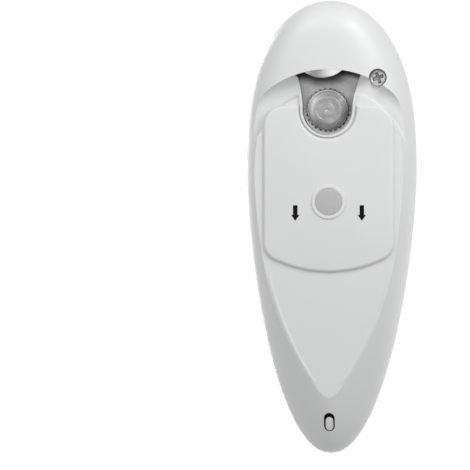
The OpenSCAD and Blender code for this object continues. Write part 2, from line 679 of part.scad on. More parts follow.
module drive_gear() color("ivory") placed() at(drive) difference() {
  union() {
    spur_gear(m_drive, drive_teeth, drive_z, turn_drive);
    rod(5, drive_z[0], gear_plate_z[0] - gear_gap);
  }
  rod(drive_shaft_r, -1, 30);
  for (z = [drive_z[0] - 1, drive_z[1] - 1]) translate([0, 0, z]) difference() {
    cylinder(r = pitch_r(m_drive, drive_teeth) - 2.4, h = 2);
    translate([0, 0, -1]) cylinder(r = 6.4, h = 4);
  }
  for (a = [0:60:300]) rotate([0, 0, a]) at([9.2, 0]) rod(1.8, -1, 8);
}
module drive_shaft() color("lightgray") placed() at(drive) {
  rod(drive_shaft_r, wheel_face + 0.8, gear_plate_z[1] + 0.8);
}
module drive_bushes() color("darkgoldenrod") placed() at(drive) {
  tube(drive_shaft_r + 1.6, drive_shaft_r + run, floor_under, floor_under + 4);
  tube(drive_shaft_r + 1.6, drive_shaft_r + run, -5.4, -1.4);
}
// Toothed wheel: a band of teeth, a conical skirt and a flat turned hub
wheel_face = -panel_depth - 1;
wheel_band = [plate_under - 4.6, plate_under - 0.5];
hub_r = 5.8;
module drive_wheel() color("silver") placed() at(drive) difference() {
  union() {
    intersection() {
      translate([0, 0, wheel_band[0]]) linear_extrude(height = wheel_band[1] - wheel_band[0])
        polygon([for (k = [0:wheel_teeth - 1]) let (c = 360 * k / wheel_teeth, p = 360 / wheel_teeth)
          each [polar(wheel_r - 0.9, c - p * 0.38), polar(wheel_r, c - p * 0.12),
                polar(wheel_r, c + p * 0.12), polar(wheel_r - 0.9, c + p * 0.38)]]);
      // the teeth lean back towards the hub
      translate([0, 0, wheel_band[0]]) cylinder(r1 = wheel_r - 1, r2 = wheel_r + 2.4, h = 4.2, $fn = 64);
    }
    translate([0, 0, wheel_face]) cylinder(r1 = hub_r, r2 = wheel_r - 1.1, h = wheel_band[0] - wheel_face + 0.6);
    rod(wheel_r - 1.2, wheel_band[0], wheel_band[1]);
  }
  rod(drive_shaft_r, wheel_face + 0.8, 0);
  // turned rings and the centre mark on the hub
  translate([0, 0, wheel_face - 1]) difference() {
    cylinder(r = 4.5, h = 1.15);
    translate([0, 0, -1]) cylinder(r = 2.8, h = 4);
  }
  rod(0.6, wheel_face - 1, wheel_face + 0.5);
}
module pocket_plate() color("darkgray") placed() difference() {
  union() {
    intersection() {
      union() {
        translate([0, 0, plate_under]) linear_extrude(height = plate_t) polygon(mouth_points(-0.15));
        at(drive) rod(collar_r - 0.15, plate_under, floor_under);
      }
      at(can) rod(lip_r - 0.15, plate_under - 1, floor_under + 1);
    }
    at(pivot) rod(disc_room - 0.15, plate_under, floor_under);
  }
  at(drive) rod(drive_shaft_r + 0.5, -40, 0);
  at(pivot) rod(carrier_r + 0.3, -40, 0);
}

// ---- cutter ----

module cutter_carrier() color("silver") placed() at(pivot) difference() {
  union() {
    rod(carrier_r, plate_under - 0.6, carrier_top);
    rod(carrier_r + 1.6, carrier_top - 1.6 + 0.05, carrier_top);
    rod(1.5, carrier_top - eps, carrier_top + 1.3);
    translate([0, -throw, 0]) rod(axle_r + 1.4, disc_top + 0.1, plate_under - 0.6 + eps);
  }
  translate([0, -throw, 0]) rod(axle_r, -40, carrier_top - 3);
}
module cutter_axle() color("lightgray") placed() at(pivot) translate([0, -throw, 0]) {
  rod(axle_r, disc_under - 0.1, carrier_top - 3);
  rod(axle_r + 1.6, disc_under - 0.9, disc_under - 0.1);
}
module cutter_disc() color("silver") placed() at(pivot) translate([0, -throw, 0]) difference() {
  rotate_extrude($fn = 96) polygon([[axle_r + run, disc_under], [disc_r - 1.6, disc_under],
    [disc_r, disc_top - 0.4], [disc_r, disc_top - 0.1], [disc_r - 0.1, disc_top],
    [axle_r + run, disc_top]]);
}
module stop_lever() color("ivory") placed() at(pivot) translate([0, 0, carrier_top]) difference() {
  union() {
    cylinder(r = 5, h = 1.2);
    block([0, -1.6, 0], [11, 1.6, 1.2]);
  }
  translate([0, 0, -1]) cylinder(r = 1.5, h = 4);
}
module stop_switch() color("black") placed() {
  block([disc_x - 12.2, pivot[1] - 8, floor_top], [disc_x - 8.4, pivot[1] - 2, carrier_top + 1.8]);
}

// ---- power ----

module cell() {
  // body along X with its raised terminal against the +X contact
  translate([bay_half - contact_t - cell_l, 0, 0]) rotate([0, 90, 0]) {
    rod(cell_d / 2, 0, cell_l - 1.4);
    rod(2.7, cell_l - 1.4 - eps, cell_l);
  }
}
module cell_front() color("darkorange") placed() translate([0, cells_at, cell_z]) cell();
module cell_rear() color("darkorange") placed() translate([0, cells_at + cell_pitch, cell_z])
  rotate([0, 0, 180]) cell();
contact_t = 0.4;
module battery_contacts() color("silver") placed() {
  lo = cell_z - 5.4;
  hi = cell_z + 5.4;
  // one bridging plate on one side, two separate plates on the other
  block([bay_half - contact_t, cells_at - 5, lo], [bay_half, cells_at + cell_pitch + 5, hi]);
  for (s = [cells_at, cells_at + cell_pitch])
    block([-bay_half, s - 5, lo], [-bay_half + contact_t, s + 5, hi]);
}
module contact_springs() color("silver") placed() {
  gap = 2 * (bay_half - contact_t) - cell_l;
  coils = 6;
  wire = gap / coils / 2;
  for (e = [[-1, cells_at], [1, cells_at + cell_pitch]])
    translate([e[0] * (bay_half - contact_t - gap), e[1], cell_z]) rotate([0, 90 * e[0], 0])
      for (k = [0:coils - 1]) translate([0, 0, wire + 0.08 + (gap - 2 * wire - 0.16) * k / (coils - 1)])
        rotate_extrude() translate([2.6 + k * 0.28, 0]) circle(r = wire + 0.08, $fn = 16);
}
module case_screws() color("silver") placed() {
  at(screw_head) mirror([0, 0, 1]) pan_screw(screw_r, screw_head_r, 2, -screw_seat, 22, 0.9);
  for (p = hidden_screws) at(p) mirror([0, 0, 1]) pan_screw(screw_r, 2.9, 1.7, -hidden_seat, 22, 0.9);
}

top_shell();
bottom_shell();
battery_cover();
magnet();
button();
button_spring();
switch_plunger();
start_switch();
switch_board();
board_screws();
motor_can();
motor_end_cap();
motor_shaft();
motor_pinion();
motor_screws();
gear_a();
gear_b();
gear_c();
gear_pins();
gear_plate();
top_plate();
plate_pillars();
plate_screws();
pillar_screws();
drive_gear();
drive_shaft();
drive_bushes();
drive_wheel();
pocket_plate();
cutter_carrier();
cutter_axle();
cutter_disc();
stop_lever();
stop_switch();
cell_front();
cell_rear();
battery_contacts();
contact_springs();
case_screws();
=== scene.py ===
"""Looks for a hand-held can opener: smooth shells, a gloss button, a toothed wheel, and steel in
the pocket.

Shapes are worked out in millimetres in the housing's own frame: x across, s along from the nose,
z up from the parting line. place() turns them into the model's frame in metres.
"""

import json
import math

import bmesh
import bpy
import numpy as np
from mathutils import Matrix, Quaternion, Vector
from mathutils.geometry import delaunay_2d_cdt

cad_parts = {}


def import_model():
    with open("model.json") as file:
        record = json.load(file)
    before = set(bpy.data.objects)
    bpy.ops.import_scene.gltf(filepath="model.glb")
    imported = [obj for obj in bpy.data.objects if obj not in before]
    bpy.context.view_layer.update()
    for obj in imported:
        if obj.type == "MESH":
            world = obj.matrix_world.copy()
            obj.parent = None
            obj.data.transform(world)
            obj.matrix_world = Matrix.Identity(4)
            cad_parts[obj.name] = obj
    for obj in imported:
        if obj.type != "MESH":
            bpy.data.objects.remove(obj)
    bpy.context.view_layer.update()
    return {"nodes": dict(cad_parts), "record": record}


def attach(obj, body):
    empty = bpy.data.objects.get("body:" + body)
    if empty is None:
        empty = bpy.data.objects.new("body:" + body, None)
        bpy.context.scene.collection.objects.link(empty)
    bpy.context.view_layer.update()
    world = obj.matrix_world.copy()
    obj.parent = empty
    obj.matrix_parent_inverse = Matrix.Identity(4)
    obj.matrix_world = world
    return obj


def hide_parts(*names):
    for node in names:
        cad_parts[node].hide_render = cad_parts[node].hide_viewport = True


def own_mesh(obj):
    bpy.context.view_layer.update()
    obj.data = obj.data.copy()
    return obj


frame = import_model()

# ---- the housing's sizes, in millimetres ----

# the plan, the dome, the hood's underside, the panel and the wall; TIP keeps the ends from closing
BODY_L, BODY_W, WIDEST_AT = 192.0, 72.6, 73.0
DOME_H, DOME_AT, DOME_SQUARE = 27.0, 78.0, 2.3
HOOD_DEPTH, HOOD_ROUND, HOOD_END = 24.5, 20.0, 30.0
PANEL_DEPTH, WALL, TIP = 19.8, 2.2, 0.5
# the bulges' two exponents: of the plan and the crest towards nose and tail, and of the keel
PLAN_NOSE, PLAN_TAIL = (2.6, 2), (1.55, 2.05)
CREST_NOSE, CREST_TAIL = (1.7, 1.8), (1.7, 1.9)
KEEL_NOSE = (4, 2.6)
# the lip that nests in the lower shell: its height and its two faces' insets; the parting groove
LIP_H, LIP_OUT, LIP_IN, PARTING_GROOVE = 1.2, WALL + 0.4, WALL + 1.5, 0.2
# the soft bead along the panel's edge: half its width, its height, and where it runs
BEAD, BEAD_RISE, BEAD_FROM = 1.1, 0.42, (108.0, 164.5)

# the button: where it sits, its tilt and radius, and levels on its own axis: crown, flange, stem's
# end, cap's underside, and the switch board's face
BUTTON_AT, BUTTON_Z, BUTTON_TILT, BUTTON_R = 22.3, 15.3, math.radians(23), 17.5
BUTTON_CROWN, BUTTON_LOW, STEM_END, CAP_UNDER, BOARD_TOP = 1.3, -5.0, -6.6, -1.8, -11.75
# its opening, its sleeve's outside, and the wider bore for its flange: radius, shoulder and end
OPENING_R, SLEEVE_R, GUIDE_R, GUIDE_TOP, GUIDE_END = 17.75, 20.35, 18.95, -3.7, -6.2

# the toothed wheel: its axis, levels, radius and number of teeth
DRIVE = (-0.5, 46.5)
WHEEL_FACE, WHEEL_TOP, WHEEL_LOW, WHEEL_R, TEETH = -20.8, -14.4, -18.5, 9.4, 26
# the cutting disc: x of its axes, s of its own and of its carrier's, the bore that it shares with
# the wheel, its levels and its radius
PIVOT_X, DISC_S, CARRIER_S, BORE_R = -3.0, 19.8, 21.6, 2.55
DISC_TOP, DISC_UNDER, DISC_R = -17.7, -19.2, 13.0
# the wheel's pocket: its radius, half its mouth, the collar round it and the gap round that
POCKET_R, MOUTH_HALF, COLLAR_T, COLLAR_GAP = 10.6, 14, 0.9, 0.6
# a can's axis, the hood's cut about it, and how far the mouth runs on under the hood
CAN_S, HOOD_CUT_R, MOUTH_LAP = 71.45, 42.2, 1.5

# the battery cover: its plate, the bow of its rear, its soft edge, its corners and its hooks
COVER_T, COVER_HALF, COVER_FRONT, COVER_END, COVER_BOW = 1.6, 27.7, 44.6, 109.0, 6.0
COVER_SOFT, FRONT_R, REAR_R, HOOKS_AT = 1.3, 9.0, 8.0, (83.0, 95.0)
# the magnet, its ring, and the two printed arrows beside it
MAGNET_S, MAGNET_R, RING_R, RING_RISE = 85.4, 5.75, 7.2, 0.6
MAGNET_LOW, MAGNET_HIGH, ARROW_X = -21.9, -20.3, 14.1

# the case screws: x, s, seat and head radius of each, their shanks, and a head's height at its rim
SCREWS = ((20.8, 32.8, -16.0, 3.45), (23.6, 68.0, -17.8, 2.9))
SHANK_R, SHANK_L, HEAD_EDGE = 1.5, 22, 1.45
# the window at the tail: its centre, the radius of its ends, and its length
CATCH_S, CATCH_R, CATCH_LONG = 178.6, 2.3, 7.8
MM = 0.001


def place(p):
    """Housing frame in millimetres to the model's frame in metres."""
    return (np.asarray(p, float) + (0, -BODY_L / 2, HOOD_DEPTH)) * MM


# ---- the camera ----

VIEW_LEAN, VIEW_CENTRE, VIEW_WIDTH = math.radians(3.2), (-40.83, 99.4, 0), 199.656


def make_camera():
    """A long lens below the part, square to its underside but for a small lean, nose upwards."""
    right = Vector((math.cos(VIEW_LEAN), 0, math.sin(VIEW_LEAN)))
    up = Vector((0, -1, 0))
    back = right.cross(up)
    data = bpy.data.cameras.new("camera")
    data.lens, data.sensor_width = 1000, 36
    data.clip_start, data.clip_end = 0.5, 40
    cam = bpy.data.objects.new("camera", data)
    away = back * (VIEW_WIDTH * MM * data.lens / data.sensor_width)
    turned = Matrix((right, up, back)).transposed().to_4x4()
    cam.matrix_world = Matrix.Translation(Vector(place(VIEW_CENTRE)) + away) @ turned
    bpy.context.collection.objects.link(cam)
    bpy.context.scene.camera = cam


make_camera()
bpy.context.scene.view_settings.view_transform = "Standard"

# ---- materials: sockets as values, and one method for every other node ----


class Value:
    """A node's output as a number: arithmetic on it adds Math nodes."""

    def __init__(self, nodes, socket):
        self.nodes, self.socket = nodes, socket

    def math(self, operation, *others):
        """A Math node's operation on this value and the others."""
        values = dict(enumerate([self, *others]))
        return self.nodes.node("Math", {"operation": operation}, values)

    def __add__(self, other):
        return self.math("ADD", other)

    def __sub__(self, other):
        return self.math("SUBTRACT", other)

    def __mul__(self, other):
        return self.math("MULTIPLY", other)

    def __rsub__(self, other):
        return self * -1.0 + other

    __radd__, __rmul__ = __add__, __mul__

    def clamped(self, low, high, to_low=0.0, to_high=1.0):
        """A straight ramp from (low, to_low) to (high, to_high), level outside."""
        sockets = {0: self, 1: low, 2: high, 3: to_low, 4: to_high}
        return self.nodes.node("MapRange", {}, sockets)


class Nodes:
    """An emptied node tree, and the one way in which nodes are added to it."""

    def __init__(self, tree):
        self.tree = tree
        tree.nodes.clear()

    def node(self, kind, settings=None, sockets=None, output=0):
        """Adds a node by type, sets it up, fills its sockets, and gives one output as a Value.

        A node that has no outputs is given as itself.
        """
        made = self.tree.nodes.new("ShaderNode" + kind)
        for key, value in (settings or {}).items():
            setattr(made, key, value)
        self.fill(made, sockets or {})
        return Value(self, made.outputs[output]) if len(made.outputs) else made

    def fill(self, made, sockets):
        """Links Values to a node's sockets, and sets plain numbers and colours on them."""
        for key, value in sockets.items():
            if isinstance(value, Value):
                self.tree.links.new(value.socket, made.inputs[key])
            else:
                made.inputs[key].default_value = value


class Finish(Nodes):
    """One material: its Principled shader, and the nodes that vary it."""

    def __init__(self, name):
        self.material = bpy.data.materials.new(name)
        self.material.use_nodes = True
        super().__init__(self.material.node_tree)
        self.out = self.node("OutputMaterial")
        self.paint = self.node("BsdfPrincipled")
        self.fill(self.out, {0: self.paint})

    def set(self, **sockets):
        """Sets the shader's own sockets, Base_Color for Base Color, and gives the material."""
        named = {key.replace("_", " "): value for key, value in sockets.items()}
        self.fill(self.paint.socket.node, named)
        return self.material

    def spots(self, centre=(0, 0, 0), scale=(1, 1, 1), turn=(0, 0, 0)):
        """Object coordinates, moved so that centre is their zero, then turned and scaled."""
        at = self.node("TexCoord", output="Object")
        moved = self.node("VectorMath", {"operation": "SUBTRACT"}, {0: at, 1: tuple(centre)})
        return self.node("Mapping", {}, {0: moved, "Rotation": turn, "Scale": scale})

    def axis(self, at, number):
        """One coordinate of a vector: 0 is x, 1 is y and 2 is z."""
        return self.node("SeparateXYZ", {}, {0: at}, output=number)

    def length(self, at):
        """Length of a vector; with z scaled to nothing, the distance from an upright axis."""
        return self.node("VectorMath", {"operation": "LENGTH"}, {0: at}, output=1)

    def noise(self, at, scale, detail=2.0, rough=0.5):
        """Cloudy noise in space."""
        sockets = {"Vector": at, "Scale": scale, "Detail": detail, "Roughness": rough}
        return self.node("TexNoise", {}, sockets)

    def rings(self, radius, scale):
        """Fine turning marks: noise of the distance from the axis alone."""
        sockets = {"W": radius, "Scale": scale, "Detail": 3.0}
        return self.node("TexNoise", {"noise_dimensions": "1D"}, sockets)

    def mix(self, mask, a, b):
        """Colour a where mask is 0 and b where it is 1."""
        a, b = ((*c, 1) if isinstance(c, tuple) else c for c in (a, b))
        return self.node("Mix", {"data_type": "RGBA"}, {0: mask, 6: a, 7: b}, output=2)

    def bump(self, height, distance):
        """A normal tilted by a height that is distance metres where it is 1."""
        return self.node("Bump", {}, {"Height": height, "Distance": distance, "Strength": 1.0})


def grey(level, tint=0.0):
    """A grey with a slight blue tint."""
    return (level * (1 - tint), level, level * (1 + tint))


def shade(colour, by):
    """A colour made darker by a factor."""
    return tuple(c * by for c in colour)


def plastic(name, colour, rough, peel=0.000012, coat=0.0, scuffs=0.02, shine=0.5):
    """Moulded plastic: faint clouding, a fine peel on the surface, and gloss that drifts."""
    f = Finish(name)
    at = f.spots()
    cloud = f.noise(at, 45, 3).clamped(0.3, 0.7)
    fine = f.noise(at, 1900, 2)
    drift = f.noise(at, 210, 4, 0.6).clamped(0.35, 0.65, -1, 1)
    return f.set(Base_Color=f.mix(cloud, shade(colour, 1 - scuffs), colour),
                 Roughness=drift * 0.03 + rough, IOR=1.49, Specular_IOR_Level=shine,
                 Coat_Weight=coat, Coat_Roughness=0.04, Normal=f.bump(fine, peel))


def turned_steel(name, colour, rough, centre, ring=2600.0, depth=0.000012, dark=0.75, metal=1.0,
                 recess_shade=None, wear_and_sheen=None):
    """Metal turned on a lathe: fine concentric rings about its own axis.

    The last two arguments are tuples. The first, (inner radius, outer radius, level, strength), is
    painted shade that darkens a recess or the gaps between teeth above the level. The second,
    (angle, radius, tip), paints a highlight on the side the angle points to, from the radius
    outwards, and makes the painted shade lighter there; past the tip radius it is bright all
    round.
    """
    f = Finish(name)
    at = f.spots(centre, (1, 1, 0))
    radius = f.length(at)
    rings = f.rings(radius, ring)
    smear = f.noise(f.spots(centre), 260, 4, 0.6).clamped(0.3, 0.7)
    paint = f.mix(smear, shade(colour, dark), colour)
    unshaded, soft = 0.0, 0.0003
    if wear_and_sheen:
        angle, edge, tip = wear_and_sheen
        turn = f.axis(at, 1).math("ARCTAN2", f.axis(at, 0)) - angle
        band = (radius.clamped(edge - soft, edge + soft)
                * radius.clamped(edge + 2 * soft, edge + 8 * soft, 1.0, 0.4))
        # painted highlight: one side of the cone made lighter in place of a reflection; past the
        # tip radius bright all round
        rubbed = turn.math("COSINE").clamped(0.0, 1.0) * band
        paint = f.mix(rubbed + radius.clamped(tip, tip + soft), paint, grey(0.85))
        # on the side towards the painted highlight the painted shade between the teeth is lighter
        unshaded = (turn - 0.8).math("COSINE").clamped(-0.3, 0.5)
    if recess_shade:
        inner, outer, level, strength = recess_shade
        above = f.axis(f.spots(), 2).clamped(level - 0.0002, level + 0.0002)
        # painted shade: darkens the recess or the gaps between teeth above the level
        recess_shade_mask = radius.clamped(inner, outer, 1, 0) * above
        paint = f.mix(recess_shade_mask * (strength - 0.8 * unshaded), paint, (0.015, 0.014, 0.013))
    return f.set(Base_Color=paint, Metallic=metal,
                 Roughness=rings.clamped(0.3, 0.7, rough * 0.75, rough * 1.3),
                 Normal=f.bump(rings, depth))


def brushed_steel(name, colour, rough, along=(1, 1, 1), depth=0.00001, dark=0.8):
    """Sheet or drawn metal: grain stretched along one direction, with a few dull patches."""
    f = Finish(name)
    grain = f.noise(f.spots(scale=along), 1500, 3)
    patch = f.noise(f.spots(), 120, 4, 0.6).clamped(0.35, 0.7)
    return f.set(Base_Color=f.mix(patch, shade(colour, dark), colour), Metallic=1.0,
                 Roughness=grain.clamped(0.3, 0.7, rough * 0.8, rough * 1.25),
                 Normal=f.bump(grain, depth))


def blasted_steel(name, colour, rough):
    """Stamped steel with a grainy, dull grey face.

    Painted shade darkens it round the disc and just under the hood's lip, and painted light makes
    it paler from the wheel's axis towards the tail.
    """
    f = Finish(name)
    at = f.spots()
    grit = f.noise(at, 2200, 5, 0.7)
    blot = f.noise(at, 170, 4, 0.6).clamped(0.3, 0.7)
    # painted shade: near black round the disc and just under the hood's lip, fading out further
    # away
    from_disc = f.length(f.spots(blade_axis, (1, 1, 0))) + blot * 0.0006
    from_lip = f.length(f.spots(can_axis, (1, 1, 0)))
    unshaded = (from_disc.clamped(0.0142, 0.0178, 0.16, 1.0)
             * from_lip.clamped(0.0392, 0.0412, 1.0, 0.12))
    # painted light: paler from the wheel's axis towards the tail
    painted_light = f.axis(at, 1).clamped(drive_axis[1] - 0.001, drive_axis[1] + 0.005)
    plain = f.mix(painted_light, f.mix(blot, shade(colour, 0.72), colour), grey(0.9))
    return f.set(Base_Color=f.mix(unshaded, (0.01, 0.01, 0.01), plain), Metallic=0.85,
                 Roughness=grit.clamped(0.3, 0.7, rough - 0.08, rough + 0.08),
                 Normal=f.bump(grit, 0.00005))


def polished_disc(name, centre):
    """Ground and polished steel over fine rings, with painted reflections: light and dark sectors
    about the axis.
    """
    f = Finish(name)
    at = f.spots(centre)
    rings = f.rings(f.length(f.spots(centre, (1, 1, 0))), 1800.0)
    turn = f.axis(at, 1).math("ARCTAN2", f.axis(at, 0))
    # painted reflection: four light and four dark sectors round the axis, in place of the polished
    # face's reflections
    painted_reflection = (turn * 4.0 - 4.3).math("COSINE") + f.noise(at, 180, 2) * 0.5 - 0.25
    return f.set(Base_Color=f.mix(painted_reflection.clamped(-1, 1), grey(0.3), grey(0.86)), Metallic=1.0,
                 Roughness=rings.clamped(0.3, 0.7, 0.12, 0.2), Normal=f.bump(rings, 0.000006))


def cell_wrap(name):
    """Printed wrap of a dry cell: dark body, a coppery band towards the terminal end."""
    f = Finish(name)
    drift = f.noise(f.spots(scale=(6, 1, 1)), 300, 3).clamped(0.3, 0.7, 0.9, 1.0)
    band = f.axis(f.spots(), 0).math("ABSOLUTE").clamped(0.0155, 0.0157)
    return f.set(Base_Color=f.mix(band, (0.03, 0.035, 0.045), (0.45, 0.22, 0.09)), Metallic=0.35,
                 Roughness=drift * 0.32, Normal=f.bump(drift, 0.00001))


def circuit_board(name):
    """Green solder mask over faint copper tracks."""
    f = Finish(name)
    at = f.spots()
    bricks = {"Vector": at, "Scale": 420.0, "Mortar Size": 0.05}
    tracks = f.node("TexBrick", {"offset": 0.5}, bricks).clamped(0.2, 0.8)
    weave = f.noise(at, 1800, 2)
    return f.set(Base_Color=f.mix(tracks, (0.02, 0.13, 0.05), (0.03, 0.2, 0.075)),
                 Roughness=weave.clamped(0.3, 0.7, 0.3, 0.42), Normal=f.bump(weave, 0.00001))


def moulded_acetal(name, colour):
    """Natural acetal: waxy, slightly uneven, with fine mould texture."""
    f = Finish(name)
    at = f.spots()
    cloud = f.noise(at, 240, 3).clamped(0.3, 0.7)
    fine = f.noise(at, 2600, 2)
    return f.set(Base_Color=f.mix(cloud, shade(colour, 0.93), colour),
                 Roughness=fine.clamped(0.3, 0.7, 0.36, 0.48), Normal=f.bump(fine, 0.00001))


def ink(name):
    """Black pad-printed ink, with a little wear where it is thin."""
    f = Finish(name)
    wear_and_sheen = f.noise(f.spots(), 3200, 3).clamped(0.68, 0.8, 0, 0.35)
    return f.set(Base_Color=f.mix(wear_and_sheen, (0.006, 0.006, 0.007), (0.1, 0.1, 0.1)),
                 Roughness=wear_and_sheen * 0.2 + 0.6, Specular_IOR_Level=0.05)


drive_axis = place((*DRIVE, 0))
blade_axis = place((PIVOT_X, DISC_S, 0))
carrier_axis = place((PIVOT_X, CARRIER_S, 0))
can_axis = place((0, CAN_S, 0))
magnet_axis = place((0, MAGNET_S, 0))
screw_axis = place((*SCREWS[0][:2], 0))
# painted shade, as inner and outer radius, level and strength: between the wheel's teeth, and in
# the first case screw's cross recess
tooth_gap_shade = (0.0088, 0.0094, place((0, 0, WHEEL_LOW))[2], 0.9)
cross_recess_shade = (0.0024, 0.0028, place((0, 0, SCREWS[0][2] - 1.2))[2], 0.65)
finishes = {
    "shell_gloss": plastic("shell_gloss", grey(0.80, 0.006), 0.2, coat=0.2, shine=0.4),
    "shell_satin": plastic("shell_satin", grey(0.74, 0.006), 0.36),
    "cover_satin": plastic("cover_satin", grey(0.735, 0.004), 0.4),
    "magnet_grey": turned_steel("magnet_grey", grey(0.44), 0.5, magnet_axis, 900, 0.00001,
                                dark=0.93, metal=0.6),
    "button_black": plastic("button_black", (0.002, 0.002, 0.0022), 0.13, peel=0.000006,
                            scuffs=0.2, shine=0.05),
    "spring_steel": brushed_steel("spring_steel", grey(0.62), 0.22),
    "switch_white": moulded_acetal("switch_white", (0.8, 0.79, 0.74)),
    "switch_black": plastic("switch_black", (0.02, 0.02, 0.02), 0.42),
    "board_green": circuit_board("board_green"),
    "screw_steel": brushed_steel("screw_steel", grey(0.58), 0.28),
    "motor_steel": brushed_steel("motor_steel", grey(0.6), 0.3, (1, 1, 0.05)),
    "shaft_steel": brushed_steel("shaft_steel", grey(0.66), 0.2, (1, 1, 8)),
    "brass": brushed_steel("brass", (0.72, 0.52, 0.22), 0.25, (1, 1, 0.1)),
    "gear_white": moulded_acetal("gear_white", (0.83, 0.82, 0.76)),
    "plate_steel": brushed_steel("plate_steel", grey(0.58, 0.01), 0.33, (0.06, 1, 1)),
    "bush_bronze": brushed_steel("bush_bronze", (0.5, 0.33, 0.16), 0.45),
    # the wheel: painted shade between its teeth, and a painted highlight on one side of its cone
    "wheel_steel": turned_steel("wheel_steel", grey(0.4), 0.4, drive_axis, depth=0.00003,
                                dark=0.6, recess_shade=tooth_gap_shade, wear_and_sheen=(-2.4, 0.006, 0.009)),
    "pocket_steel": blasted_steel("pocket_steel", grey(0.42), 0.45),
    "carrier_steel": turned_steel("carrier_steel", grey(0.6), 0.3, carrier_axis),
    "blade_steel": polished_disc("blade_steel", blade_axis),
    "cell_wrap": cell_wrap("cell_wrap"),
    "contact_steel": brushed_steel("contact_steel", grey(0.66), 0.25, (1, 0.08, 1)),
    # the case screw: painted shade in its cross recess
    "case_screw_steel": turned_steel("case_screw_steel", grey(0.62), 0.32, screw_axis, 2000,
                                     recess_shade=cross_recess_shade),
}
printed = ink("printed_ink")

slot_of = {sub["node"]: sub["material_slot"] for sub in frame["record"]["subparts"]}
bodies = frame["record"]["behaviour"]["bodies"]
body_of = {node: body for body, nodes in bodies.items() for node in nodes}
for node_name, node in frame["nodes"].items():
    node.data.materials.clear()
    node.data.materials.append(finishes[slot_of[node_name]])

# ---- meshes from arrays ----


def mesh_of(name, verts, faces, material, smooth=50):
    """A mesh object from arrays; doubled points merge, and edges over smooth degrees are sharp."""
    data = bpy.data.meshes.new(name)
    data.from_pydata(np.asarray(verts).tolist(), [], faces)
    work = bmesh.new()
    work.from_mesh(data)
    bmesh.ops.remove_doubles(work, verts=work.verts, dist=1e-6)
    bmesh.ops.recalc_face_normals(work, faces=work.faces)
    work.to_mesh(data)
    work.free()
    data.shade_smooth()
    data.set_sharp_from_angle(angle=math.radians(smooth))
    data.materials.append(material)
    made = bpy.data.objects.new(name, data)
    bpy.context.collection.objects.link(made)
    return made


def grid_faces(rows, columns, closed=False):
    """Quads over rows of points that each close up; closed joins the last row to the first."""
    r = np.arange(rows if closed else rows - 1)[:, None]
    c = np.arange(columns)[None, :]
    r2, c2 = (r + 1) % rows, (c + 1) % columns
    quads = [r * columns + c, r * columns + c2, r2 * columns + c2, r2 * columns + c]
    return np.stack(quads, -1).reshape(-1, 4).tolist()


def capped_faces(rows, columns):
    """Quads over rows of points, with the first and the last row closed by flat faces."""
    last = (rows - 1) * columns
    ends = [list(range(columns)), list(range(last + columns - 1, last - 1, -1))]
    return [*grid_faces(rows, columns), *ends]


def piece(name, parts, node, material=None, smooth=50):
    """One object from several (points, faces) parts, standing for a CAD node and riding with it.

    A piece with a material of its own is printed on the node, and replaces nothing.
    """
    verts, faces, count = [], [], 0
    for points, quads in parts:
        points = np.asarray(points).reshape(-1, 3)
        verts.append(points)
        faces += [[i + count for i in face] for face in quads]
        count += len(points)
    finish = material or finishes[slot_of[node]]
    made = mesh_of(name, place(np.concatenate(verts)), faces, finish, smooth)
    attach(made, body_of[node])
    if material is None:
        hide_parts(node)
    return made


def rounded(profile, radii, steps=4):
    """A polyline whose corners are turned into curves (1 - t)^2 a + 2 t (1 - t) p + t^2 b.

    p is the corner, and a and b lie on its two sides, as far from it as an arc of the corner's
    radius would start, or at most about half of a side.
    """
    p = np.asarray(profile, float)
    out = [p[:1]]
    for i in range(1, len(p) - 1):
        a, b = p[i - 1] - p[i], p[i + 1] - p[i]
        la, lb = np.linalg.norm(a), np.linalg.norm(b)
        a, b = a / la, b / lb
        turn = math.acos(float(np.clip(-a @ b, -1, 1)))
        reach = min(radii[i] * math.tan(turn / 2), la * 0.48, lb * 0.48)
        if reach < 1e-6:
            out.append(p[i : i + 1])
            continue
        t = np.linspace(0, 1, steps + 1)[:, None]
        start, end = p[i] + a * reach, p[i] + b * reach
        out.append((1 - t) ** 2 * start + 2 * t * (1 - t) * p[i] + t**2 * end)
    out.append(p[-1:])
    return np.concatenate(out)


def lathe(profile, axis, turns=128, ripple=None, frame_to=None):
    """Surface of revolution: (r, h) at angle a is (r cos a, r sin a, h) from the axis point.

    ripple(r, h, a) may change r round the turn; frame_to carries the points into another frame.
    """
    a = np.linspace(0, 2 * math.pi, turns, endpoint=False)[None, :]
    r, h = profile[:, :1], profile[:, 1:]
    if ripple is not None:
        r = ripple(r, h, a)
    local = np.stack(np.broadcast_arrays(r * np.cos(a), r * np.sin(a), h), -1)
    points = frame_to(local) if frame_to else local + (*axis, 0)
    return points, grid_faces(len(profile), turns)


def button_frame(local):
    """From the button's own axes, z outwards, to the housing's frame: a turn by the tilt."""
    c, s = math.cos(BUTTON_TILT), math.sin(BUTTON_TILT)
    x, y, z = local[..., 0], local[..., 1], local[..., 2]
    return np.stack([x, BUTTON_AT + y * c - z * s, BUTTON_Z + y * s + z * c], -1)


# ---- the form of the housing ----


def bulge(u, p, q):
    """1 at the widest place and 0 at the end: (1 - u^p)^(1/q)."""
    return np.maximum(0, 1 - np.clip(u, 0, 1) ** p) ** (1 / q)


def ease(t):
    """Smooth step from 0 to 1: t^2 (3 - 2t)."""
    c = np.clip(t, 0, 1)
    return c * c * (3 - 2 * c)


def half_width(s, inset=0.0):
    """Half the plan width: two bulges that meet at the widest place."""
    a, b = WIDEST_AT, BODY_L - WIDEST_AT
    front = bulge((a - s) / (a - inset), *PLAN_NOSE)
    back = bulge((s - a) / (b - inset), *PLAN_TAIL)
    return np.maximum(TIP, (BODY_W / 2 - inset) * np.where(s < a, front, back))


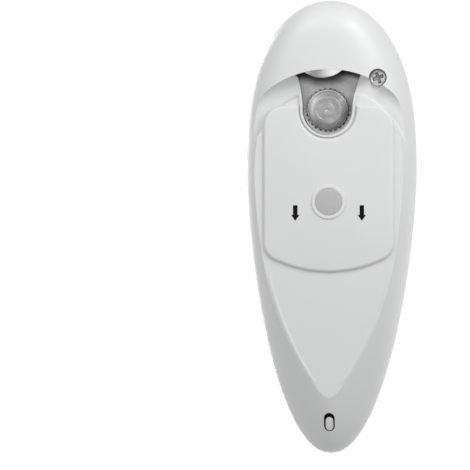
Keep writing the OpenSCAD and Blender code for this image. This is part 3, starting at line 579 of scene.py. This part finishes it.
def dome(s, inset=0.0):
    """Height of the top shell along its crest: two bulges that meet at its highest place."""
    a, b = DOME_AT, BODY_L - DOME_AT
    front = bulge((a - s) / (a - inset), *CREST_NOSE)
    back = bulge((s - a) / (b - inset), *CREST_TAIL)
    return np.maximum(TIP, (DOME_H - inset) * np.where(s < a, front, back))


def keel(s, inset=0.0):
    """Depth of the uncut underside: blunt nose, level hood, then as deep as it is half wide."""
    nose = (HOOD_DEPTH - inset) * bulge((HOOD_ROUND - s) / (HOOD_ROUND - inset), *KEEL_NOSE)
    swell = (BODY_W / 2 - HOOD_DEPTH) * ease((s - HOOD_END) / (WIDEST_AT - HOOD_END))
    return np.where(s < WIDEST_AT, np.maximum(TIP, nose + swell), half_width(s, inset))


def keel_square(s):
    """Exponent of the underside's sections: full at the hood, keeled towards the tail."""
    return 2.2 + 0.8 * ease((60 - s) / 35) - 0.7 * ease((s - 105) / 75)


ON_SKIN = 0.006  # how far from 1 the level may be on the outer form


def skin_level(p):
    """Superellipse value of the underside's sections: 1 on the uncut outer form, less inside."""
    n = keel_square(p[:, 1])
    x, z = np.abs(p[:, 0]) / half_width(p[:, 1]), np.abs(p[:, 2]) / keel(p[:, 1])
    return (x**n + z**n) ** (1 / n)


def dome_height(x, s, inset=0.0):
    """Superellipse section: h (1 - |x/w|^n)^(1/n)."""
    u = np.clip(np.abs(x) / half_width(s, inset), 0, 1)
    return dome(s, inset) * (1 - u**DOME_SQUARE) ** (1 / DOME_SQUARE)


def bisect(inside, low, high, rounds=48):
    """Where inside(t) turns false between low and high, for whole arrays at once."""
    low, high = np.array(low, float), np.array(high, float)
    for _ in range(rounds):
        middle = (low + high) / 2
        keep = inside(middle)
        low, high = np.where(keep, middle, low), np.where(keep, high, middle)
    return (low + high) / 2


def rim_on_dome(radius, angle, inset):
    """Points where a cylinder about the button's axis meets the dome, and their levels on it."""

    def local(h):
        return np.stack([radius * np.cos(angle), radius * np.sin(angle), h], -1)

    def inside(h):
        p = button_frame(local(h))
        return p[:, 2] < dome_height(p[:, 0], p[:, 1], inset)

    h = bisect(inside, np.full_like(angle, -9.0), np.full_like(angle, 9.0))
    return button_frame(local(h)), h


def outline_from(points, inset):
    """Where the ray from the button's centre through each point meets the plan outline."""
    way = points[:, :2] - (0, BUTTON_AT)
    way = way / np.linalg.norm(way, axis=1)[:, None]

    def inside(t):
        x, s = way[:, 0] * t, BUTTON_AT + way[:, 1] * t
        return (np.abs(x) < half_width(s, inset)) & (s > inset) & (s < BODY_L - inset)

    beyond = 250.0
    t = bisect(inside, np.zeros(len(points)), np.full(len(points), beyond))
    return np.stack([way[:, 0] * t, BUTTON_AT + way[:, 1] * t], -1)


def at_level(points, z):
    """Plan points lifted to the level z."""
    return np.concatenate([points, np.full((len(points), 1), z)], 1)


def tail_tongue():
    """The tongue in the tail's window: a slot-shaped column up from the keel, its end rounded."""
    count, play, high = 40, 0.6, 6.0
    q = np.linspace(0, 2 * math.pi, count, endpoint=False)
    r = CATCH_R - play
    half, middle = (CATCH_LONG - 2.0) / 2 - r, CATCH_S + 0.7
    x, s = r * np.cos(q), middle + r * np.sin(q) + half * np.sign(np.sin(q))
    end = 1.0 - keel(s)
    rings = [np.stack([x * slim, middle + (s - middle) * (0.2 + 0.8 * slim), z], -1)
             for slim, z in ((0.72, end), (0.9, end + 0.12), (1.0, end + 0.5),
                             (1.0, np.full(count, high)))]
    return np.stack(rings), capped_faces(len(rings), count)


def top_shell():
    """The dome as rays from the button's opening to the plan outline, with a rounded opening, the
    sleeve that guides the button, the inner face, and the lip that nests in the lower shell."""
    turn = np.linspace(-1, 1, 480, endpoint=False)
    angle = math.pi / 2 + math.pi * (0.45 * turn + 0.55 * turn**3)
    edge_round, inner_level = 0.4, 0.8
    rim_r = OPENING_R + edge_round

    def skin(radius, inset, rows):
        """Rows from the opening to the outline at t = 1 - (1 - u)^n, closer where it is steep."""
        rim, _ = rim_on_dome(radius, angle, inset)
        edge = outline_from(rim, inset)
        t = 1 - (1 - np.linspace(0, 1, rows)) ** DOME_SQUARE
        plan = rim[None, :, :2] + (edge - rim[:, :2])[None] * t[:, None, None]
        z = dome_height(plan[..., 0], plan[..., 1], inset)
        return np.concatenate([plan, z[..., None]], -1)

    def ring(radius, h):
        """A circle about the button's axis, h above its seat."""
        h = np.broadcast_to(h, angle.shape)
        local = np.stack([radius * np.cos(angle), radius * np.sin(angle), h], -1)
        return button_frame(local)[None]

    def flat(inset, z):
        """The plan outline at level z, shrunk by inset."""
        return at_level(outline_from(outer[0], inset), z)[None]

    outer = skin(rim_r, 0.0, 104)
    inner = skin(SLEEVE_R, WALL, 30)
    _, lip = rim_on_dome(rim_r, angle, 0.0)
    edge = [ring(rim_r - edge_round * math.sin(q), lip - edge_round * (1 - math.cos(q)))
            for q in np.linspace(0, math.pi / 2, 5)[1:]]
    sleeve = [ring(r, h) for r, h in ((OPENING_R, GUIDE_TOP), (GUIDE_R, GUIDE_TOP),
                                      (GUIDE_R, GUIDE_END), (SLEEVE_R, GUIDE_END))]
    outer[-1, :, 2] = PARTING_GROOVE
    nest = [flat(inset, z) for inset, z in ((PARTING_GROOVE, 0.0), (LIP_OUT, 0.0),
                                            (LIP_OUT, -LIP_H), (LIP_IN, -LIP_H),
                                            (LIP_IN, inner_level), (WALL, inner_level))]
    rows = np.concatenate([*reversed(sleeve), *reversed(edge), outer, *nest, inner[-2::-1]])
    shell = (rows, grid_faces(*rows.shape[:2], closed=True))
    return piece("top_shell_skin", [shell, tail_tongue()], "top_shell", smooth=60)


def inside_edges(points, starts, ends):
    """Even-odd rule: a point is inside where a ray to its right crosses an odd number of edges."""
    x, y = points[:, :1], points[:, 1:2]
    ax, ay, bx, by = starts[:, 0], starts[:, 1], ends[:, 0], ends[:, 1]
    spans = (ay > y) != (by > y)
    rise = np.where(by == ay, 1.0, by - ay)
    return (spans & (x < ax + (y - ay) * (bx - ax) / rise)).sum(1) % 2 == 1


def edge_distance(points, starts, ends):
    """Distance in plan to the nearest edge: |p - (a + t (b - a))| with t held in 0..1."""
    run = (ends - starts)[:, :2]
    away = points[:, None, :2] - starts[:, :2]
    t = np.clip((away * run).sum(2) / np.maximum((run**2).sum(1), 1e-12), 0, 1)
    return np.linalg.norm(away - t[..., None] * run, axis=2).min(1)


def panel_with_bead(spots, tris, flat):
    """The flat panel filled anew inside its own edges, with a low bead along the tail's edge.

    The edge is moved inwards by one and by two half-widths; the first line stands proud by the
    bead's height. Gives the new points and the triangles of the whole skin.
    """
    count = len(spots)
    panel = tris[flat]
    ways = np.concatenate([panel[:, [0, 1]], panel[:, [1, 2]], panel[:, [2, 0]]])
    forth, back = ways[:, 0] * count + ways[:, 1], ways[:, 1] * count + ways[:, 0]
    edge = ways[~np.isin(forth, back)]
    edge_from, edge_to = spots[edge[:, 0]], spots[edge[:, 1]]
    after, before = np.full(count, -1), np.full(count, -1)
    after[edge[:, 0]], before[edge[:, 1]] = edge[:, 1], edge[:, 0]
    rim = np.unique(edge)
    start, end = BEAD_FROM
    in_reach = np.abs(spots[rim, 1] - (start + end) / 2) < (end - start) / 2
    bead = rim[(np.abs(skin_level(spots[rim]) - 1) < ON_SKIN) & in_reach]
    along = spots[after[bead], :2] - spots[before[bead], :2]
    along /= np.linalg.norm(along, axis=1)[:, None]
    inward = np.stack([along[:, 1], -along[:, 0]], -1)
    grown, lines, owners = [spots[rim]], [edge], [rim]
    for step, rise in ((BEAD, BEAD_RISE), (2 * BEAD, 0.0)):
        moved = spots[bead, :2] + inward * step
        far = edge_distance(moved, edge_from, edge_to) > 0.95 * step
        fade = ease((moved[far, 1] - start) / 12) * ease((end - moved[far, 1]) / 5)
        at = np.concatenate([moved[far], (-PANEL_DEPTH - rise * fade)[:, None]], 1)
        number = np.full(count, -1)
        number[bead[far]] = count + sum(len(g) for g in grown[1:]) + np.arange(far.sum())
        pair = np.stack([number[bead[far]], number[after[bead[far]]]], -1)
        grown.append(at)
        lines.append(pair[pair[:, 1] >= 0])
        owners.append(number[bead[far]])
    flat_points, numbers = np.concatenate(grown), np.concatenate(owners)
    local = np.full(numbers.max() + 1, -1)
    local[numbers] = np.arange(len(numbers))
    ends = local[np.concatenate(lines)].tolist()
    filling = delaunay_2d_cdt(flat_points[:, :2].tolist(), ends, [], 0, 1e-6)
    fresh = np.array(filling[3])[np.array(filling[2]), 0]
    fresh = fresh[inside_edges(flat_points[fresh, :2].mean(1), edge_from, edge_to)]
    corner = flat_points[fresh, :2]
    turn = np.cross(corner[:, 1] - corner[:, 0], corner[:, 2] - corner[:, 0])
    fresh[turn > 0] = fresh[turn > 0][:, ::-1]
    return np.concatenate([spots, *grown[1:]]), np.concatenate([tris[~flat], numbers[fresh]])


def underside_skin():
    """The lower shell with the true form's normals on its outer skin, so that gloss runs smoothly.

    A normal there is the slope of the superellipse value, where that lies close to the face's own;
    the panel's faces stay level.
    """
    work = bmesh.new()
    work.from_mesh(frame["nodes"]["bottom_shell"].data)
    bmesh.ops.remove_doubles(work, verts=work.verts, dist=2e-6)
    merged = bpy.data.meshes.new("merged_lower_shell")
    work.to_mesh(merged)
    work.free()

    def read(items, name, width, kind=np.float32):
        """One property of all of a mesh's items as an array."""
        values = np.empty(len(items) * width, kind)
        items.foreach_get(name, values)
        return values.reshape(-1, width)

    spots = read(merged.vertices, "co", 3).astype(float) / MM + (0, BODY_L / 2, -HOOD_DEPTH)
    tris = read(merged.loops, "vertex_index", 1, np.int32).reshape(-1, 3)
    flat = read(merged.polygons, "normal", 3)[:, 2] < -0.9999
    flat &= (np.abs(spots[tris, 2] + PANEL_DEPTH) < 0.02).all(1)
    spots, tris = panel_with_bead(spots, tris, flat)
    data = bpy.data.meshes.new("underside_skin")
    data.from_pydata(place(spots).tolist(), [], tris.tolist())
    data.shade_smooth()
    data.set_sharp_from_angle(angle=math.radians(24))
    corners = read(data.corner_normals, "vector", 3)
    face_normal = np.repeat(read(data.polygons, "normal", 3), 3, axis=0)
    step, aligned, near_level, level = 0.02, 0.94, -0.9995, -0.99995
    slope = [skin_level(spots + d) - skin_level(spots - d) for d in np.eye(3) * step]
    slope = np.stack(slope, -1)
    slope /= np.maximum(np.linalg.norm(slope, axis=1), 1e-12)[:, None]
    true = slope[tris.reshape(-1)]
    on_skin = np.abs(skin_level(spots) - 1) < ON_SKIN
    use = np.repeat(on_skin[tris].all(1), 3)
    use &= ((true * face_normal).sum(1) > aligned) & (face_normal[:, 2] > near_level)
    corners[use] = true[use]
    corners[face_normal[:, 2] < level] = (0, 0, -1)
    data.normals_split_custom_set(corners.tolist())
    data.materials.append(finishes["shell_satin"])
    made = bpy.data.objects.new("underside_skin", data)
    bpy.context.collection.objects.link(made)
    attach(made, "housing")
    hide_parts("bottom_shell")
    return made


def button():
    """Crowned cap turned about its tilted axis, with a rounded edge, a skirt, a flange and a stem.

    The crown is a circle's arc, c - R + sqrt(R^2 - x^2), and the edge a quarter of a small circle.
    """
    r, soft, skirt_t, stem_r = BUTTON_R, 1.3, 1.5, 3
    crown_r = (r * r + BUTTON_CROWN**2) / (2 * BUTTON_CROWN)
    x = np.linspace(0, r - 1.6, 26)
    crown = np.stack([x, BUTTON_CROWN - crown_r + np.sqrt(crown_r**2 - x**2)], -1)
    q = np.linspace(0, math.pi / 2, 9)
    edge = np.stack([r - soft + soft * np.sin(q), -soft + soft * np.cos(q)], -1)
    low, under, flange = BUTTON_LOW, BUTTON_LOW + 1, r + 0.95
    skirt = [(r, under), (flange, under), (flange, low), (r - skirt_t, low),
             (r - skirt_t, CAP_UNDER), (stem_r, CAP_UNDER), (stem_r, STEM_END), (0, STEM_END)]
    profile = np.concatenate([crown, edge, rounded([edge[-1], *skirt], [0.15] * 9, 2)[1:]])
    return piece("button_cap", [lathe(profile, None, 192, frame_to=button_frame)], "button")


def return_spring():
    """Round wire on a helix: radius R + w cos k and height h(a) + w sin k, at turn a and angle k.

    It stands on the switch board.
    """
    turns, radius, wire, gap = 4, 6.2, 0.4, 0.02
    low, high = BOARD_TOP + gap, CAP_UNDER - gap
    t = np.concatenate([[0], np.linspace(0, 1, turns * 36 + 1), [1]])[:, None]
    w = np.full_like(t, wire)
    w[0] = w[-1] = 0
    a, k = 2 * math.pi * turns * t, np.linspace(0, 2 * math.pi, 12, endpoint=False)[None, :]
    out = radius + w * np.cos(k)
    rise = low + wire + (high - low - 2 * wire) * t + w * np.sin(k)
    points = button_frame(np.stack([out * np.cos(a), out * np.sin(a), rise], -1))
    made = piece("return_spring", [(points, grid_faces(*rise.shape))], "button_spring")
    base, top = place(button_frame(np.array([(0, 0, BOARD_TOP), (0, 0, CAP_UNDER)], float)))
    joints = frame["record"]["behaviour"]["joints"]
    press = next(j for j in joints if j["name"] == "button_press")
    length = float(np.linalg.norm(top - base))
    (length - press["range_m"][1]) / length
    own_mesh(made)
    return made


# ---- the works that show in the pocket ----


def drive_wheel():
    """Turned hub with two rings and a dimple, a cone, and a band of teeth that lean back."""
    face, low, top, r = WHEEL_FACE, WHEEL_LOW, WHEEL_TOP, WHEEL_R
    corners = [
        ((0, face + 0.5), 0), ((0.55, face + 0.3), 0.2), ((0.9, face), 0.15), ((2.7, face), 0.1),
        ((2.9, face + 0.16), 0.1), ((4.4, face + 0.16), 0.1), ((4.6, face), 0.1),
        ((5.8, face), 0.35), ((8.25, low + 0.1), 0.2), ((8.6, low), 0.1), ((9.1, low + 0.9), 0.3),
        ((r, low + 1.6), 0.3), ((r, top - 0.3), 0.2), ((8.6, top), 0.2), ((BORE_R, top), 0.1),
        ((BORE_R, face + 1.2), 0.1), ((0, face + 1.2), 0)]
    profile = rounded([at for at, _ in corners], [soft for _, soft in corners], 3)

    def teeth(r, h, a):
        """r less the gaps' depth: a wave held in 0..1, none inside the cone, full at the band."""
        wave = np.clip(0.5 - 0.9 * np.cos(TEETH * a), 0, 1)
        band = np.clip((h - WHEEL_LOW + 0.3) / 0.8, 0, 1)
        return r - 0.9 * np.clip((r - 8.3) / 0.9, 0, 1) * band * wave

    wheel = lathe(profile, DRIVE, TEETH * 16, teeth)
    return piece("toothed_wheel", [wheel], "drive_wheel", smooth=35)


def cutter_disc():
    """Flat disc with a ground bevel up to its sharp edge, turned from its half section."""
    top, under, r = DISC_TOP, DISC_UNDER, DISC_R
    profile = rounded([(BORE_R, top), (BORE_R, under), (4.5, under), (r - 1.6, under),
                       (r, top - 0.35), (r, top - 0.1), (r - 0.1, top), (BORE_R, top)],
                      [0, 0.1, 0.1, 0.5, 0.05, 0.03, 0.03, 0], 3)
    disc = lathe(profile, (PIVOT_X, DISC_S), 192)
    return piece("cutting_disc", [disc], "cutter_disc", smooth=30)


def case_screws():
    """Pan heads with a cross recess, each a height field over a polar grid, on plain shanks.

    The crown is e + c sqrt(1 - (r/R)^3), and the cross is where either of two bars covers the
    point, eased at its walls and shallower towards the rim.
    """
    parts = []
    twist, bar = math.radians(20), 0.6
    for x0, s0, seat, head in SCREWS:
        r = head * np.linspace(0, 1, 44)[:, None] ** 0.85
        turn = np.linspace(0, 2 * math.pi, 144, endpoint=False)[None, :]
        crown = HEAD_EDGE + 0.55 * np.sqrt(np.clip(1 - (r / head) ** 3, 0, 1))
        x, y = np.abs(r * np.cos(turn + twist)), np.abs(r * np.sin(turn + twist))
        long = head * 0.66
        arm = np.minimum(np.maximum(x / long, y / bar), np.maximum(y / long, x / bar))
        depth = 1.5 * (1 - ease((arm - 0.75) / 0.5)) * (1 - 0.55 * (r / head))
        cap = np.stack(np.broadcast_arrays(x0 + r * np.cos(turn), s0 + r * np.sin(turn),
                                           seat - crown + depth), -1)
        shank = rounded([(head, seat - HEAD_EDGE), (head, seat), (SHANK_R, seat),
                         (SHANK_R, seat + SHANK_L - 1), (0, seat + SHANK_L)],
                        [0, 0.1, 0.1, 0.3, 0], 3)
        parts += [(cap, grid_faces(*cap.shape[:2])), lathe(shank, (x0, s0), 144)]
    return piece("case_screw_heads", parts, "case_screws", smooth=40)


# ---- battery cover, magnet and the printed arrows ----


def arc(centre, radius, start, end, count=18):
    """Points on a circle, from one angle to another in degrees."""
    a = np.radians(np.linspace(start, end, count))
    return np.stack([centre[0] + radius * np.cos(a), centre[1] + radius * np.sin(a)], -1)


def mouth_side(side, grow):
    """One side of the pocket's outline: straight by the wheel, and flaring towards the lip.

    Half its width is r + g + (m - r) t^1.8, with t from 0 at the wheel's axis to 1 at the lip.
    """
    lip_at = CAN_S - math.sqrt(HOOD_CUT_R**2 - MOUTH_HALF**2) - MOUTH_LAP
    t = np.linspace(0, 1, 15)
    reach = POCKET_R + grow + (MOUTH_HALF - side * DRIVE[0] - POCKET_R) * t**1.8
    return np.stack([DRIVE[0] + side * reach, DRIVE[1] - (DRIVE[1] - lip_at) * t], -1)


def cover_outline():
    """The cover's edge, walked round once: front corners, sides, bowed rear, and the notch."""
    h, f, e, fr, rr = COVER_HALF, COVER_FRONT, COVER_END, FRONT_R, REAR_R
    chord = h - rr * 0.4
    bow_r = (chord**2 + COVER_BOW**2) / (2 * COVER_BOW)
    lean = math.degrees(math.asin(chord / bow_r))
    bow = arc((0, e + COVER_BOW - bow_r), bow_r, 90 - lean, 90 + lean, 40)[4:-4]
    notch = arc(DRIVE, POCKET_R + COLLAR_T + COLLAR_GAP, 180, 0, 40)[1:-1]

    def to_front(side):
        """The notch's side from the wheel to the cover's front edge."""
        points = mouth_side(side, COLLAR_T + COLLAR_GAP)
        points = points[points[:, 1] > f + 0.05]
        return np.concatenate([points, [(points[-1, 0], f)]])

    return np.concatenate([
        arc((h - fr, f + fr), fr, -90, 0), arc((h - rr, e - rr * 0.8), rr, 0, 90 - lean), bow,
        arc((-h + rr, e - rr * 0.8), rr, 90 + lean, 180), arc((-h + fr, f + fr), fr, 180, 270),
        to_front(-1)[::-1], notch, to_front(1)])


def offset(loop, by):
    """A closed loop moved inwards along its normals, corners shared between their two sides."""
    before, after = np.roll(loop, 1, 0), np.roll(loop, -1, 0)
    a, b = loop - before, after - loop
    a /= np.linalg.norm(a, axis=1)[:, None]
    b /= np.linalg.norm(b, axis=1)[:, None]
    way = a + b
    way /= np.linalg.norm(way, axis=1)[:, None]
    share = np.clip((way * a).sum(1), 0.5, 1)
    return loop + np.stack([-way[:, 1], way[:, 0]], -1) * (by / share)[:, None]


def filled(outer, hole, centre, radius):
    """Triangles between a closed outline and the round hole in it, numbered outline first."""
    points = np.concatenate([outer, hole])
    n, m = len(outer), len(hole)
    rings = np.concatenate([np.arange(n), n + np.arange(m)])
    ends = np.concatenate([np.roll(np.arange(n), -1), n + np.roll(np.arange(m), -1)])
    edges = np.stack([rings, ends], -1).tolist()
    filling = delaunay_2d_cdt(points.tolist(), edges, [list(range(n))], 1, 1e-6)
    tris = np.array(filling[3])[np.array(filling[2]), 0]
    return tris[np.linalg.norm(points[tris].mean(1) - centre, axis=1) > radius]


def cover_hook(side, s):
    """A hook's bracket-shaped section carried across it, its ends drawn in by a tenth."""
    foot = rounded([(24.8, -20.2), (24.8, -18.25), (27.0, -18.25), (27.0, -17.45),
                    (23.4, -17.45), (23.4, -20.2)], [0, 0.1, 0.25, 0.25, 0.3, 0], 3)
    across = np.array([-1.7, -1.55, 1.55, 1.7])[:, None]
    slim = np.array([0.9, 1.0, 1.0, 0.9])[:, None]
    middle = foot.mean(0)
    x = side * (middle[0] + (foot[:, 0] - middle[0]) * slim)
    z = middle[1] + (foot[:, 1] - middle[1]) * slim
    return np.stack(np.broadcast_arrays(x, s + across, z), -1), capped_faces(*x.shape)


def battery_cover():
    """A plate with a turned ring for the magnet, and hooks under its long sides.

    Its edge is the outline moved in by e (1 - cos q) at e (1 - sin q) above the face; both its
    sides are filled flat from the outline to the ring.
    """
    loop = cover_outline()
    loop = loop[np.linalg.norm(loop - np.roll(loop, 1, 0), axis=1) > 0.12]
    top, face, lip = -PANEL_DEPTH, -PANEL_DEPTH - COVER_T, -PANEL_DEPTH - COVER_T - RING_RISE
    q, centre = np.linspace(0, math.pi / 2, 8), (0, MAGNET_S)
    insets = [0.0, *(COVER_SOFT * (1 - np.cos(q)))]
    levels = [top, *(face + COVER_SOFT * (1 - np.sin(q)))]
    steps = zip(insets, levels, strict=True)
    rings = np.stack([at_level(offset(loop, inset), z) for inset, z in steps])
    turn = arc(centre, 1, 0, 360, 97)[:-1] - centre
    parts = [(rings, grid_faces(*rings.shape[:2]))]
    for ring, radius, z in ((rings[-1, :, :2], RING_R, face), (rings[0, :, :2], MAGNET_R, top)):
        hole = turn * radius + centre
        points = at_level(np.concatenate([ring, hole]), z)
        parts.append((points, filled(ring, hole, centre, radius).tolist()))
    collar = rounded([(MAGNET_R, top), (MAGNET_R, lip), (RING_R, lip), (RING_R, face)],
                     [0, 0.25, 0.3, 0], 5)
    parts.append(lathe(collar, centre, len(turn)))
    parts += [cover_hook(side, s) for s in HOOKS_AT for side in (-1, 1)]
    return piece("cover_plate", parts, "battery_cover", smooth=40)


def magnet():
    """Ground disc with a small chamfer, turned from its half section, sunk in its ring."""
    profile = rounded([(0, MAGNET_LOW), (MAGNET_R, MAGNET_LOW), (MAGNET_R, MAGNET_HIGH),
                       (0, MAGNET_HIGH)], [0, 0.25, 0.1, 0], 4)
    return piece("magnet_disc", [lathe(profile, (0, MAGNET_S), 96)], "magnet", smooth=40)


def arrows():
    """Two printed arrows that point the way the cover slides, a flat shape between two levels."""
    shape = np.array([(-0.95, 86.8), (0.95, 86.8), (0.95, 90.9), (1.8, 90.9), (0.0, 93.4),
                      (-1.8, 90.9), (-0.95, 90.9)])
    face = -PANEL_DEPTH - COVER_T
    parts = []
    for x in (-ARROW_X, ARROW_X):
        ring = [at_level(shape + (x, 0), z) for z in (face - 0.03, face + 0.05)]
        parts.append((np.stack(ring), capped_faces(2, len(shape))))
    return piece("printed_arrows", parts, "battery_cover", printed)


top_shell()
underside_skin()
button()
return_spring()
drive_wheel()
cutter_disc()
case_screws()
battery_cover()
magnet()
arrows()

# ---- floor, light and world ----


def floor():
    """A pale floor under the part.

    It shows, with its shadow, only to a camera above it, and lets light through, so that the
    underside can be seen and lit from below.
    """
    size = 3.0
    data = bpy.data.meshes.new("floor")
    corners = [(-size, -size, 0), (size, -size, 0), (size, size, 0), (-size, size, 0)]
    data.from_pydata(corners, [], [(0, 1, 2, 3)])
    made = bpy.data.objects.new("floor", data)
    made.location.z = -0.0004
    bpy.context.collection.objects.link(made)
    f = Finish("floor_paint")
    camera_ray = f.node("LightPath", output="Is Camera Ray")
    backface = f.node("NewGeometry", output="Backfacing")
    cloud = f.noise(f.spots(), 3, 3).clamped(0.3, 0.7)
    f.set(Base_Color=f.mix(cloud, grey(0.9), grey(0.93)), Roughness=cloud * 0.1 + 0.8)
    layers = {0: camera_ray * (1 - backface), 1: f.node("BsdfTransparent"), 2: f.paint}
    f.fill(f.out, {0: f.node("MixShader", {}, layers)})
    data.materials.append(f.material)


def world():
    """White to the camera and in reflections; softer light on the surfaces themselves."""
    sky = bpy.data.worlds.new("studio")
    bpy.context.scene.world = sky
    sky.use_nodes = True
    f = Nodes(sky.node_tree)
    rays = [f.node("LightPath", output=f"Is {kind} Ray")
            for kind in ("Camera", "Glossy", "Transmission")]
    seen = rays[0].math("MAXIMUM", rays[1]).math("MAXIMUM", rays[2])
    light = f.node("Background", {}, {0: (1, 1, 1, 1), 1: seen.clamped(0, 1, 0.5, 1.0)})
    f.node("OutputWorld", {}, {0: light})


def lamp(name, spot, size, power, long=None, turn=0.0):
    """A soft box that looks at the part: square, or long and turned in its own plane."""
    data = bpy.data.lights.new(name, "AREA")
    data.shape, data.size, data.size_y, data.energy = "RECTANGLE", long or size, size, power
    made = bpy.data.objects.new(name, data)
    made.location = spot
    made.rotation_mode = "QUATERNION"
    facing = (Vector((0, 0, 0.025)) - Vector(spot)).to_track_quat("-Z", "Y")
    made.rotation_quaternion = facing @ Quaternion((0, 0, 1), turn)
    made.visible_camera = False
    bpy.context.collection.objects.link(made)


floor()
world()
lamp("key_above", (-0.14, 0.02, 0.42), 0.14, 0.85, long=0.6, turn=-0.5)
lamp("fill_above", (0.35, 0.25, 0.6), 0.5, 0.3)
lamp("key_below", (0.24, -0.28, -0.3), 0.28, 1.15)
lamp("fill_below", (-0.22, -0.28, -0.3), 0.28, 0.45)
